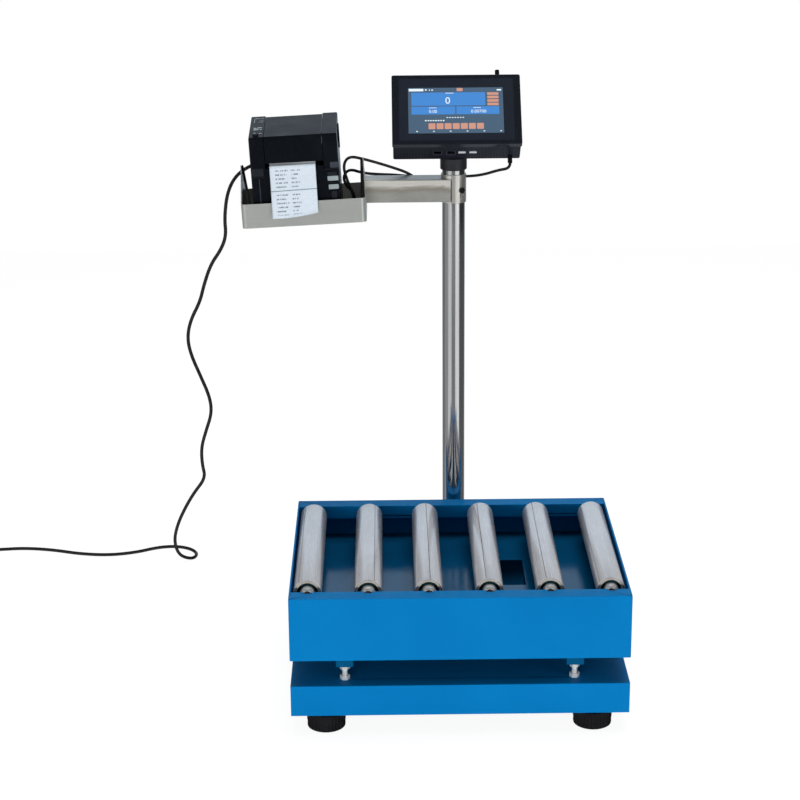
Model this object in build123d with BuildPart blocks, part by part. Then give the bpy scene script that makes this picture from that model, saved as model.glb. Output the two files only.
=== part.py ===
from build123d import *
import math
import os

os.makedirs("parts", exist_ok=True)

# Roller scale. Millimetres; X runs right, Y back, Z up. The origin is on the floor under the
# middle of the base.

# Driving sizes of the platform, the two stacked frames seen from the front
frame_x = 500.0
frame_y = 400.0
sheet = 2.5
foot_pad_h = 27.0
foot_neck_h = 5.0
base_h = 48.0
frame_gap = 41.0
frame_h = 98.0
base_z = foot_pad_h + foot_neck_h
base_top = base_z + base_h
frame_z = base_top + frame_gap
frame_top = frame_z + frame_h
half_x = frame_x / 2
half_y = frame_y / 2
inner_x = frame_x - 2 * sheet
inner_y = frame_y - 2 * sheet

# Feet
foot_pad_r = 29.0
foot_stud_r = 6.0
foot_run = 0.08
foot_inset_x = 51.0
foot_inset_y = 36.0
foot_x = half_x - foot_inset_x
foot_y = half_y - foot_inset_y
foot_plate_t = 6.0
foot_plate_x = 90.0
foot_plate_y = 70.0
foot_nut_r = 11.0
foot_nut_h = 4.0

# Load path from the base to the weighing frame
cell_x = 150.0
cell_y = 40.0
cell_z = 40.0
spacer_t = 4.0
spacer_x = 42.0
cell_bolt_in = 11.0
cell_bolt_pitch = 22.0
return_w = 25.0
member_y = 80.0
member_t = 4.0
member_h = 21.5
member_z = base_z + sheet
cell_z0 = member_z + member_h + spacer_t
cell_z1 = cell_z0 + cell_z
cell_hole_r = 0.32 * cell_z
cell_hole_x = 0.375 * cell_z
cell_slot_h = 0.3 * cell_z
pan_hole_x = 200.0
pan_hole_y = 90.0
beam_wall = 3.0
beam_y = 70.0
beam_z = cell_z1 + spacer_t
arm_w = 40.0
back_beam_y = 20.0
back_beam_at = 150.0
back_beam_low = base_top + 10.0
stop_x = 170.0
stop_y = half_y - 26.0
stop_size = 26.0
stop_gap = 2.0
deck_drop = 57.0
deck_t = 2.0
deck_top = frame_top - deck_drop
deck_low = deck_top - deck_t
deck_hole_x = 36.0
deck_hole_y = 100.0
deck_hole_at = (90.0, 27.5)

# Hexagon bolts and nuts, M8
bolt_r = 4.0
bolt_flat = 13.0
bolt_head = 5.3
nut_h = 6.8
bolt_clear = 0.25
stop_bolt_h = 22.0
stop_bolt_tail = 12.0

# Rails and rollers
flange_w = 27.5
lip_h = 22.0
end_gap = 17.0
roller_count = 6
roller_r = 21.0
roller_wall = 1.5
roller_drop = 10.0
side_inset = 26.5
axle_r = 6.0
axle_in = 22.0
notch_clear = 0.2
seat_r = 8.0
run_fit = 0.05
cap_recess = 5.0
cap_t = 8.0
cone_r = 11.0
cone_tip_r = 9.5
cone_gap = 0.3
cone_len = 15.0
roller_z = frame_top - roller_drop
roller_half = half_y - flange_w - end_gap
roller_pitch = (frame_x - 2 * side_inset) / (roller_count - 1)
axle_half = half_y - axle_in
roller_xs = [side_inset - half_x + roller_pitch * i for i in range(roller_count)]

# Column, its socket and the bracket on it
column_x = 4.5
column_r = 18.0
column_wall = 2.0
column_gap = 11.0
column_y = half_y + column_gap + column_r
column_top = 777.8
socket_wall = 5.0
socket_foot = 4.0
socket_top = 116.0
socket_plate_x = 90.0
socket_plate_h = 44.0
socket_plate_t = column_gap - socket_wall
socket_z = base_z + 2.0
socket_bolt_x = 35.0
socket_bolt_z = (10.0, 34.0)
lead_z = base_z + 36.0
sleeve_r = 20.0
sleeve_h = 45.0
sleeve_rise = 6.5
bracket_top = 748.8
bracket_h = 36.0
bracket_d = 40.0
bracket_wall = 2.0
bracket_seam = 4.5
sleeve_screw_angle = 37.0
screw_head_r = 4.5
screw_head_h = 3.0
screw_r = 2.5
screw_len = 8.0

# Printer tray, tilted about Y because its outer end sags a little
tray_w = 193.0
tray_d = 120.0
tray_h = 38.0
tray_t = 1.5
tray_peak = 88.0
tray_corner = 8.0
tray_sag = 2.8
arm_reach = 136.5
tray_x = column_x - arm_reach
tray_z = bracket_top - 56.8
plate_t = 4.0
plate_screw_in = 7.0

# Printer, in the tray's own axes: x right, y back, z up from the tray's underside
print_w = 136.0
print_right = -38.0
print_x = print_right - print_w / 2
print_lap = 10.0
print_rest = 4.0
print_front = print_lap - tray_d / 2
print_back = tray_d / 2 - print_rest
print_wall = 2.5
print_round = 4.0
print_soft = 2.0
print_foot_h = 3.0
print_foot_r = 7.0
print_low = tray_t + print_foot_h
print_part = 83.5
print_top_front = 139.0
print_top_back = 154.5
cheek_out = 23.5
cover_w = print_w - 2 * cheek_out
cover_gap = 0.8
cover_low = 98.0
cover_axis_y = print_back - 12.0
cover_axis_z = 126.0
cover_pin_r = 3.0
bridge_y = print_back - 8.0
bridge_top = 118.0
paper_side = 9.0
paper_w = cover_w - 2 * paper_side
paper_x = -3.0
platen_r = 8.0
platen_len = paper_w - 1.0
platen_shaft_r = 2.5
platen_y = print_front + 12.0
platen_z = 86.0
ear_t = 3.0
ear_gap = 1.0
ear_x = paper_w / 2 + ear_gap + ear_t / 2
ear_top = 91.0
mouth_lip = 90.0
reel_r = 36.0
reel_core_r = 6.0
reel_y = print_back - 48.0
reel_z = 48.0
reel_ear_top = 58.0
head_gap = 0.9
head_back = 4.0
label_t = 0.5
label_gap = 0.15
label_corner = 4.0
# The strip's fall: steps forward of the printer's or the tray's front, and up from a named height
label_over = 1.5
label_bend = (6.0, -2.0)
label_slack = (7.5, 12.0)
label_rim = (3.0, -2.0)
label_low = (4.0, 3.0)
label_end = (11.0, -4.0)
button_r = 4.5
button_rise = 2.5
button_x = 11.0 - print_w / 2
button_y = print_front + 12.0
button_gap = 0.3
button_rim = 1.5
latch_low = 108.0
latch_high = 145.0
latch_t = 2.2
latch_gap = 0.4
latch_clear = 0.5
latch_hold = 3.0
latch_d = 9.0
latch_neck_d = 5.0
latch_neck_h = 20.0
latch_travel = 4.0
plug_x = -30.0
plug_z = 60.0
plug_w = 24.0
plug_h = 16.0
plug_l = 22.0
plug_round = 3.0
relief_l = 25.0
relief_wall = 0.8
relief_step = 1.0

# Touch indicator, in its own tilted axes: x right, y up the screen, z out of the screen
tilt = 41.0
ind_x = column_x + 4.0
ind_w = 200.0
ind_h = 124.0
ind_t = 48.0
ind_y = column_y - 20.7
ind_z = 780.5
bezel_t = 10.0
bezel_border = 11.0
bezel_short = 0.6 * bezel_border
case_step = 3.0
glass_w = ind_w - 2 * bezel_border
glass_h = ind_h - 2 * bezel_short
display_w = ind_w - 4 * bezel_border
display_h = ind_h - 3 * bezel_border
display_gap = 1.0
glass_set = 0.3
ind_corner = 3.0
ind_wall = 2.5
ind_soft = 1.2
glass_t = 3.0
collar_r = 21.0
collar_fit = 0.06
collar_z = 762.0
collar_gap = 0.2
collar_edge = 1.2
neck_w = 38.0
neck_t = 8.0
neck_start = 26.0
neck_reach = 75.0
aerial_r = 3.5
aerial_h = 30.0
aerial_x = 67.0
gland_x = 82.5
gland_r = 3.6
gland_l = 12.0
gland_out = 8.0
port_xs = (-30.0, -9.0, 8.0, 25.0)
port_w = 12.0
port_h = 9.0

# Leads. Route points are millimetres, in order from where the lead starts.
power_d = 5.8
data_d = 4.5
cell_lead_d = 5.0
network_d = 4.6
clear_hole = 1.0
coil_turn_r = 32.0
coil_turns = 4
coil_at = (-880.0, 500.0)
coil_tail = 28.0
power_run = 28.0
gland_run = 10.0
arm_run = 19.0
data_rise = 15.0
network_rise = 12.0


def save(builder, name):
    builder.part.label = name
    export_step(builder.part, "parts/" + name + ".step")


def corner_signs():
    return [(sx, sy) for sx in (-1, 1) for sy in (-1, 1)]


def bolt(x, y, z, up, length):
    """A hexagon bolt whose head sits on height z; up is the way the head stands."""
    with BuildSketch(Plane.XY.offset(z)) as head:
        with Locations((x, y)):
            RegularPolygon(bolt_flat / 2, 6, major_radius=False)
    extrude(head.sketch, amount=up * bolt_head)
    with BuildSketch(Plane.XY.offset(z)) as shank:
        with Locations((x, y)):
            Circle(bolt_r)
    extrude(shank.sketch, amount=-up * length)


def rod(x, z, radius, y_from, y_to, mode=Mode.ADD):
    """A round bar along Y."""
    with BuildSketch(Plane.XZ.offset(-y_to)) as end:
        with Locations((x, z)):
            Circle(radius)
    extrude(end.sketch, amount=y_to - y_from, mode=mode)


def turn_radii(points):
    """The radius of each corner: 0.45 of the shorter run over the tangent of half the turn.

    The first and last runs carry one corner only, so they count double.
    """
    runs = [Vector(after) - Vector(before) for before, after in zip(points, points[1:])]
    room = [run.length for run in runs]
    room[0] *= 2
    room[-1] *= 2
    radii = []
    for i in range(len(runs) - 1):
        half = math.radians(runs[i].get_angle(runs[i + 1])) / 2
        radii.append(0.45 * min(room[i], room[i + 1]) / math.tan(half))
    return radii


def lead(name, points, diameter):
    """A round lead along straight runs joined by tangent arcs."""
    radii = turn_radii(points)
    with BuildPart() as tube:
        with BuildLine() as route:
            FilletPolyline(*points, radius=radii)
        start = Plane(origin=points[0], z_dir=Vector(points[1]) - Vector(points[0]))
        with BuildSketch(start):
            Circle(diameter / 2)
        sweep(path=route.wires()[0])
    length = sum(edge.length for edge in route.edges())
    full = length * math.pi * diameter**2 / 4
    share = tube.part.volume / full
    print(name, "length", round(length), "tightest", round(min(radii), 1), "volume share", round(share, 3))
    save(tube, name)
    return length


stops = [(sx * stop_x, sy * stop_y) for sx, sy in corner_signs()]
feet = [(sx * foot_x, sy * foot_y) for sx, sy in corner_signs()]
socket_bolts = [(column_x + sx * socket_bolt_x, socket_z + z) for sx in (-1, 1) for z in socket_bolt_z]

# Base pan: an inverted tray with a return flange, open in the middle for the load cell
with BuildPart() as base_pan:
    with BuildSketch(Plane.XY.offset(base_z)):
        Rectangle(frame_x, frame_y)
    extrude(amount=base_h)
    with BuildSketch(Plane.XY.offset(base_z)):
        Rectangle(inner_x, inner_y)
    extrude(amount=base_h - sheet, mode=Mode.SUBTRACT)
    with BuildSketch(Plane.XY.offset(base_z)):
        Rectangle(inner_x, inner_y)
        Rectangle(inner_x - 2 * return_w, inner_y - 2 * return_w, mode=Mode.SUBTRACT)
    extrude(amount=sheet)
    with BuildSketch(Plane.XY.offset(base_top)):
        Rectangle(pan_hole_x, pan_hole_y)
        with Locations(*stops):
            Circle(bolt_r + bolt_clear)
    extrude(amount=-sheet, mode=Mode.SUBTRACT)
    with BuildSketch(Plane.XZ.offset(-half_y)):
        with Locations(*socket_bolts):
            Circle(bolt_r + bolt_clear)
        with Locations((column_x, lead_z)):
            Circle(cell_lead_d / 2 + clear_hole)
    extrude(amount=sheet, mode=Mode.SUBTRACT)
save(base_pan, "base_pan")

fixed_bolts = [cell_bolt_in + cell_bolt_pitch * i - cell_x / 2 for i in (0, 1)]
live_bolts = [-x for x in fixed_bolts]

# Cross member: a channel welded across the base on the return flanges
with BuildPart() as cross_member:
    with BuildSketch(Plane.XY.offset(member_z)):
        Rectangle(inner_x, member_y)
    extrude(amount=member_h)
    with BuildSketch(Plane.XY.offset(member_z)):
        Rectangle(inner_x, member_y - 2 * member_t)
    extrude(amount=member_h - member_t, mode=Mode.SUBTRACT)
    with BuildSketch(Plane.XY.offset(member_z + member_h)):
        with Locations(*[(x, 0) for x in fixed_bolts]):
            Circle(bolt_r)
    extrude(amount=-member_t, mode=Mode.SUBTRACT)
save(cross_member, "cross_member")

# Foot plates: threaded plates welded into the base's corners
with BuildPart() as foot_plates:
    with BuildSketch(Plane.XY.offset(member_z)):
        for sx, sy in corner_signs():
            with Locations((sx * (inner_x - foot_plate_x) / 2, sy * (inner_y - foot_plate_y) / 2)):
                Rectangle(foot_plate_x, foot_plate_y)
        with Locations(*feet):
            Circle(foot_stud_r + foot_run, mode=Mode.SUBTRACT)
    extrude(amount=foot_plate_t)
save(foot_plates, "foot_plates")

# Load cell: an aluminium beam with a double-hole bending section and a raised pad at each end
with BuildPart() as load_cell:
    with BuildSketch(Plane.XY.offset(cell_z0)):
        Rectangle(cell_x, cell_y)
    extrude(amount=cell_z)
    with BuildSketch(Plane.XZ.offset(-cell_y / 2)):
        with Locations((0, cell_z0 + cell_z / 2)):
            SlotCenterToCenter(2 * cell_hole_x, cell_slot_h)
            with Locations((-cell_hole_x, 0), (cell_hole_x, 0)):
                Circle(cell_hole_r)
    extrude(amount=cell_y, mode=Mode.SUBTRACT)
    for side, low in ((-1, cell_z0 - spacer_t), (1, cell_z1)):
        with BuildSketch(Plane.XY.offset(low)):
            with Locations((side * (cell_x - spacer_x) / 2, 0)):
                Rectangle(spacer_x, cell_y)
        extrude(amount=spacer_t)
    with BuildSketch(Plane.XY.offset(cell_z0 - spacer_t)):
        with Locations(*[(x, 0) for x in fixed_bolts + live_bolts]):
            Circle(bolt_r)
    extrude(amount=cell_z + 2 * spacer_t, mode=Mode.SUBTRACT)
save(load_cell, "load_cell")

arm_low = frame_z + sheet
stop_low = base_top + stop_bolt_h + stop_gap

# Deck frame: two tubes under the deck, a beam over the load cell, a channel across the back
# that closes the gap behind the window, and four stop blocks
with BuildPart() as deck_frame:
    with BuildSketch(Plane.XZ.offset(-inner_y / 2)):
        for side in (-1, 1):
            with Locations((side * stop_x, (arm_low + deck_low) / 2)):
                Rectangle(arm_w, deck_low - arm_low)
                Rectangle(arm_w - 2 * beam_wall, deck_low - arm_low - 2 * beam_wall, mode=Mode.SUBTRACT)
    extrude(amount=inner_y)
    with BuildSketch(Plane.YZ.offset(-stop_x + arm_w / 2)):
        with Locations((0, (beam_z + deck_low) / 2)):
            Rectangle(beam_y, deck_low - beam_z)
            Rectangle(beam_y - 2 * beam_wall, deck_low - beam_z - 2 * beam_wall, mode=Mode.SUBTRACT)
    extrude(amount=2 * stop_x - arm_w)
    with BuildSketch(Plane.YZ.offset(-stop_x + arm_w / 2)):
        with Locations((back_beam_at, (back_beam_low + deck_low) / 2)):
            Rectangle(back_beam_y, deck_low - back_beam_low)
            with Locations((beam_wall, 0)):
                Rectangle(back_beam_y, deck_low - back_beam_low - 2 * beam_wall, mode=Mode.SUBTRACT)
    extrude(amount=2 * stop_x - arm_w)
    with BuildSketch(Plane.XY.offset(stop_low)):
        with Locations(*stops):
            Rectangle(stop_size, stop_size)
    extrude(amount=arm_low - stop_low)
    with BuildSketch(Plane.XY.offset(beam_z)):
        with Locations(*[(x, 0) for x in live_bolts]):
            Circle(bolt_r)
    extrude(amount=beam_wall, mode=Mode.SUBTRACT)
    with BuildSketch(Plane.XY.offset(deck_low)):
        with Locations(deck_hole_at):
            Rectangle(deck_hole_x, deck_hole_y)
    extrude(amount=beam_z + beam_wall - deck_low, mode=Mode.SUBTRACT)
save(deck_frame, "deck_frame")

# Deck plate: the glossy floor under the rollers, with a service window
with BuildPart() as deck_plate:
    with BuildSketch(Plane.XY.offset(deck_low)):
        Rectangle(inner_x, inner_y)
        with Locations(deck_hole_at):
            Rectangle(deck_hole_x, deck_hole_y, mode=Mode.SUBTRACT)
    extrude(amount=deck_t)
save(deck_plate, "deck_plate")


notch_depth = axle_half - half_y + flange_w + notch_clear


def rail(side):
    """A face with a top flange and a notched lip; side is -1 at the front and 1 at the back."""
    with BuildPart() as part:
        with BuildSketch(Plane.XY.offset(frame_z)):
            with Locations((0, side * (half_y - sheet / 2))):
                Rectangle(frame_x, sheet)
        extrude(amount=frame_h)
        with BuildSketch(Plane.XY.offset(frame_top - sheet)):
            with Locations((0, side * (half_y - flange_w / 2))):
                Rectangle(inner_x, flange_w)
        extrude(amount=sheet)
        with BuildSketch(Plane.XY.offset(frame_top - lip_h)):
            with Locations((0, side * (half_y - flange_w + sheet / 2))):
                Rectangle(inner_x, sheet)
        extrude(amount=lip_h)
        for x in roller_xs:
            with BuildSketch(Plane.XZ.offset(-side * (half_y - flange_w))):
                with Locations((x, roller_z)):
                    Circle(axle_r)
                with Locations((x, roller_z + lip_h / 2)):
                    Rectangle(2 * axle_r, lip_h)
            extrude(amount=-side * notch_depth, mode=Mode.SUBTRACT)
    return part


front_rail = rail(-1)
save(front_rail, "front_rail")
rear_rail = rail(1)
save(rear_rail, "rear_rail")


def side_panel(side):
    with BuildPart() as part:
        with BuildSketch(Plane.XY.offset(frame_z)):
            with Locations((side * (half_x - sheet / 2), 0)):
                Rectangle(sheet, inner_y)
        extrude(amount=frame_h)
    return part


save(side_panel(-1), "left_panel")
save(side_panel(1), "right_panel")

# Fasteners of the base: load cell bolts, overload stop bolts and socket bolts
with BuildPart() as hex_bolts:
    for x in fixed_bolts:
        bolt(x, 0, member_z + member_h - member_t, -1, member_t + spacer_t + cell_z / 2)
    for x in live_bolts:
        bolt(x, 0, beam_z + beam_wall, 1, beam_wall + spacer_t + cell_z / 2)
    for x, y in stops:
        shank = stop_bolt_h - bolt_head
        bolt(x, y, base_top + shank, 1, shank + stop_bolt_tail)
    with BuildSketch(Plane.XZ.offset(-half_y - socket_plate_t)):
        with Locations(*socket_bolts):
            RegularPolygon(bolt_flat / 2, 6, major_radius=False)
    extrude(amount=-bolt_head)
    with BuildSketch(Plane.XZ.offset(-half_y - socket_plate_t)):
        with Locations(*socket_bolts):
            Circle(bolt_r)
    extrude(amount=socket_plate_t + sheet + stop_bolt_tail)
save(hex_bolts, "hex_bolts")

# Nuts: one above and one below the base's top for each stop bolt, one on each socket bolt
with BuildPart() as hex_nuts:
    for low in (base_top, base_top - sheet - nut_h):
        with BuildSketch(Plane.XY.offset(low)):
            with Locations(*stops):
                RegularPolygon(bolt_flat / 2, 6, major_radius=False)
                Circle(bolt_r, mode=Mode.SUBTRACT)
        extrude(amount=nut_h)
    with BuildSketch(Plane.XZ.offset(-half_y + sheet)):
        with Locations(*socket_bolts):
            RegularPolygon(bolt_flat / 2, 6, major_radius=False)
            Circle(bolt_r, mode=Mode.SUBTRACT)
    extrude(amount=nut_h)
save(hex_nuts, "hex_nuts")

cap_out = roller_half - cap_recess
cap_in = cap_out - cap_t


# Roller axles: fixed shafts seated in the rails' notches, with a bearing seat and cone hub each end
with BuildPart() as roller_axles:
    for x in roller_xs:
        rod(x, roller_z, axle_r, -axle_half, axle_half)
        for side in (-1, 1):
            seat = sorted((side * (cap_in - cone_gap), side * (cap_out + cone_gap)))
            rod(x, roller_z, seat_r, *seat)
            hub = Plane(origin=(x, side * (cap_out + cone_gap), roller_z), z_dir=(0, side, 0))
            with BuildSketch(hub):
                Circle(cone_r)
            with BuildSketch(hub.offset(cone_len)):
                Circle(cone_tip_r)
            loft()
save(roller_axles, "roller_axles")


def roller_tube(x):
    with BuildPart() as part:
        rod(x, roller_z, roller_r, -roller_half, roller_half)
        rod(x, roller_z, roller_r - roller_wall, -roller_half, roller_half, Mode.SUBTRACT)
    return part


def roller_caps(x):
    with BuildPart() as part:
        for side in (-1, 1):
            span = sorted((side * cap_in, side * cap_out))
            rod(x, roller_z, roller_r - roller_wall, *span)
            rod(x, roller_z, seat_r + run_fit, *span, Mode.SUBTRACT)
    return part


for number, x in enumerate(roller_xs, 1):
    save(roller_tube(x), "roller_tube_" + str(number))
    save(roller_caps(x), "roller_caps_" + str(number))


def foot(x, y):
    """A levelling foot: moulded pad, hexagon neck and stud."""
    with BuildPart() as part:
        with BuildSketch():
            with Locations((x, y)):
                Circle(foot_pad_r)
        extrude(amount=foot_pad_h)
        chamfer(part.faces().sort_by(Axis.Z)[0].edges(), 2.0)
        with BuildSketch(Plane.XY.offset(foot_pad_h)):
            with Locations((x, y)):
                RegularPolygon(foot_nut_r, 6, major_radius=False)
        extrude(amount=foot_nut_h)
        with BuildSketch(Plane.XY.offset(foot_pad_h + foot_nut_h)):
            with Locations((x, y)):
                Circle(foot_stud_r)
        extrude(amount=foot_plate_t * 4)
    return part


for number, (x, y) in enumerate(feet, 1):
    save(foot(x, y), "foot_" + str(number))

socket_r = column_r + socket_wall

# Column socket: a plate bolted to the back of the base, with a short tube that takes the column
with BuildPart() as column_socket:
    with BuildSketch(Plane.XZ.offset(-half_y - socket_plate_t)):
        with Locations((column_x, socket_z + socket_plate_h / 2)):
            Rectangle(socket_plate_x, socket_plate_h)
        with Locations(*socket_bolts):
            Circle(bolt_r, mode=Mode.SUBTRACT)
    extrude(amount=socket_plate_t)
    with BuildSketch(Plane.XY.offset(socket_z)):
        with Locations((column_x, column_y)):
            Circle(socket_r)
        with Locations((column_x, (half_y + column_y) / 2 + socket_plate_t / 2)):
            Rectangle(socket_r * 1.4, column_y - half_y - socket_plate_t)
    extrude(amount=socket_plate_h)
    with BuildSketch(Plane.XY.offset(socket_z)):
        with Locations((column_x, column_y)):
            Circle(socket_r)
    extrude(amount=socket_top - socket_z)
    with BuildSketch(Plane.XY.offset(socket_z + socket_foot)):
        with Locations((column_x, column_y)):
            Circle(column_r)
    extrude(amount=socket_top - socket_z, mode=Mode.SUBTRACT)
    rod(column_x, lead_z, cell_lead_d / 2 + clear_hole, half_y, column_y, Mode.SUBTRACT)
save(column_socket, "column_socket")

# Column tube: polished tube standing in the socket
with BuildPart() as column_tube:
    with BuildSketch(Plane.XY.offset(socket_z + socket_foot)):
        with Locations((column_x, column_y)):
            Circle(column_r)
            Circle(column_r - column_wall, mode=Mode.SUBTRACT)
    extrude(amount=column_top - socket_z - socket_foot)
    rod(column_x, lead_z, cell_lead_d / 2 + clear_hole, half_y, column_y, Mode.SUBTRACT)
save(column_tube, "column_tube")

screw_way = (math.sin(math.radians(sleeve_screw_angle)), -math.cos(math.radians(sleeve_screw_angle)), 0)
screw_at = (
    column_x + sleeve_r * screw_way[0],
    column_y + sleeve_r * screw_way[1],
    bracket_top - bracket_h / 2,
)
screw_plane = Plane(origin=screw_at, z_dir=screw_way)

# Bracket sleeve: the ring that clamps on the column
with BuildPart() as bracket_sleeve:
    with BuildSketch(Plane.XY.offset(bracket_top + sleeve_rise - sleeve_h)):
        with Locations((column_x, column_y)):
            Circle(sleeve_r)
            Circle(column_r, mode=Mode.SUBTRACT)
    extrude(amount=sleeve_h)
    with BuildSketch(screw_plane.offset(-sleeve_r / 2)):
        Circle(screw_r)
    extrude(amount=sleeve_r, mode=Mode.SUBTRACT)
save(bracket_sleeve, "bracket_sleeve")

sag = math.radians(tray_sag)
tray_right = Vector(math.cos(sag), 0, math.sin(sag))
tray_up = Vector(-math.sin(sag), 0, math.cos(sag))
tray_origin = Vector(tray_x, column_y, tray_z)


def tray_point(x, y, z):
    """A point given in the tray's own axes."""
    return tray_origin + tray_right * x + Vector(0, y, 0) + tray_up * z


def tray_floor(x=0.0, z=0.0):
    """A plane along the tray's floor, at height z."""
    return Plane(origin=tray_point(x, 0, z), x_dir=tray_right, z_dir=tray_up)


def tray_side(x):
    """A plane across the tray at x, with y back and z up, facing right."""
    return Plane(origin=tray_point(x, 0, 0), x_dir=(0, 1, 0), z_dir=tray_right)


def tray_back(y):
    """A plane facing forwards at y, with x right and z up."""
    return Plane(origin=tray_point(0, y, 0), x_dir=tray_right, z_dir=(0, -1, 0))


plate_mid = bracket_top - bracket_h / 2 - tray_z
plate_sy = bracket_d / 2 - plate_screw_in
plate_sz = bracket_h / 2 - plate_screw_in
plate_screws = [(sy * plate_sy, plate_mid + sz * plate_sz) for sy, sz in corner_signs()]

arm_gland_r = 4.5
arm_gland_l = 6.0
arm_gland_in = 34.5
arm_gland_drop = 10.8
arm_gland_x = column_x - arm_gland_in
arm_gland_z = bracket_top - arm_gland_drop
arm_gland_y = column_y + bracket_d / 2 + arm_gland_l

# Bracket arm: a box tube from the sleeve, with an end plate for the tray
with BuildPart() as bracket_arm:
    with BuildSketch(Plane.YZ.offset(column_x - bracket_seam)):
        with Locations((column_y, bracket_top - bracket_h / 2)):
            RectangleRounded(bracket_d, bracket_h, bracket_wall)
            Rectangle(bracket_d - 2 * bracket_wall, bracket_h - 2 * bracket_wall, mode=Mode.SUBTRACT)
    extrude(amount=-(column_x - tray_x))
    with BuildSketch(tray_side(plate_t)):
        Rectangle(frame_x, frame_x * 4)
    extrude(amount=-frame_x, mode=Mode.SUBTRACT)
    with BuildSketch(Plane.XY.offset(bracket_top - 2 * bracket_h)):
        with Locations((column_x, column_y)):
            Circle(sleeve_r)
    extrude(amount=3 * bracket_h, mode=Mode.SUBTRACT)
    with BuildSketch(Plane.XZ.offset(-arm_gland_y)):
        with Locations((arm_gland_x, arm_gland_z)):
            Circle(arm_gland_r)
    extrude(amount=arm_gland_l)
    with BuildSketch(tray_side(0)):
        with Locations((0, plate_mid)):
            Rectangle(bracket_d, bracket_h)
        with Locations(*plate_screws):
            Circle(screw_r, mode=Mode.SUBTRACT)
    extrude(amount=plate_t)
save(bracket_arm, "bracket_arm")

# Screws: the sleeve's clamp screw, and four through the tray's wall into the end plate
with BuildPart() as bracket_screws:
    with BuildSketch(screw_plane):
        Circle(screw_head_r)
    extrude(amount=screw_head_h)
    with BuildSketch(screw_plane):
        Circle(screw_r)
    extrude(amount=-(sleeve_r - column_r))
    with BuildSketch(tray_side(-tray_t)):
        with Locations(*plate_screws):
            Circle(screw_head_r)
    extrude(amount=-screw_head_h / 2)
    with BuildSketch(tray_side(-tray_t)):
        with Locations(*plate_screws):
            Circle(screw_r)
    extrude(amount=screw_len)
save(bracket_screws, "bracket_screws")

# Printer tray: folded sheet with a peaked gusset at each end
with BuildPart() as printer_tray:
    with BuildSketch(tray_floor()):
        with Locations((-tray_w / 2, 0)):
            RectangleRounded(tray_w, tray_d, tray_corner)
    extrude(amount=tray_h)
    with BuildSketch(tray_floor(z=tray_t)):
        with Locations((-tray_w / 2, 0)):
            RectangleRounded(tray_w - 2 * tray_t, tray_d - 2 * tray_t, tray_corner - tray_t)
    extrude(amount=tray_h, mode=Mode.SUBTRACT)
    for x in (0, tray_t - tray_w):
        with BuildSketch(tray_side(x)):
            with BuildLine():
                foot_half = tray_d / 2 - tray_corner
                Polyline(
                    (-foot_half, tray_corner),
                    (-foot_half, tray_h),
                    (0, tray_peak),
                    (foot_half, tray_h),
                    (foot_half, tray_corner),
                    close=True,
                )
            make_face()
        extrude(amount=-tray_t)
    with BuildSketch(tray_side(0)):
        with Locations(*plate_screws):
            Circle(screw_r)
    extrude(amount=-tray_t, mode=Mode.SUBTRACT)
save(printer_tray, "printer_tray")

print_mid_y = (print_front + print_back) / 2
print_d = print_back - print_front


def top_at(y):
    """Height of the printer's sloping top at y."""
    return print_top_front + (print_top_back - print_top_front) * (y - print_front) / print_d


# Printer base: lower case with the mouth's lip and two ears that carry platen and reel
with BuildPart() as printer_base:
    with BuildSketch(tray_floor(z=print_low)):
        with Locations((print_x, print_mid_y)):
            RectangleRounded(print_w, print_d, print_soft)
    extrude(amount=print_part - print_low)
    with BuildSketch(tray_floor(z=print_low + print_wall)):
        with Locations((print_x, print_mid_y)):
            Rectangle(print_w - 2 * print_wall, print_d - 2 * print_wall)
    extrude(amount=print_part, mode=Mode.SUBTRACT)
    with BuildSketch(tray_floor(z=print_part)):
        with Locations((print_x, print_front + print_wall / 2)):
            Rectangle(cover_w, print_wall)
    extrude(amount=mouth_lip - print_part)
    for side in (-1, 1):
        near = paper_x + print_x + side * ear_x
        with BuildSketch(tray_side(near - ear_t / 2)):
            with BuildLine():
                Polyline(
                    (print_front + print_wall, print_low),
                    (print_front + print_wall, ear_top),
                    (platen_y + platen_r, ear_top),
                    (platen_y + 2 * platen_r, reel_ear_top),
                    (reel_y + 3 * reel_core_r, reel_ear_top),
                    (reel_y + 3 * reel_core_r, print_low),
                    close=True,
                )
            make_face()
            with Locations((platen_y, platen_z)):
                Circle(platen_shaft_r + run_fit, mode=Mode.SUBTRACT)
            with Locations((reel_y, reel_z)):
                Circle(reel_core_r + run_fit, mode=Mode.SUBTRACT)
        extrude(amount=ear_t)
save(printer_base, "printer_base")


def cheek_outline():
    """The side profile of the upper case, rounded at the top."""
    FilletPolyline(
        (print_front, print_part),
        (print_front, print_top_front),
        (print_back, print_top_back),
        (print_back, print_part),
        radius=[print_round, print_round],
    )
    Line((print_back, print_part), (print_front, print_part))


cheek_in = cover_w / 2 + cover_gap
cheek_w = print_w / 2 - cheek_in

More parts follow.
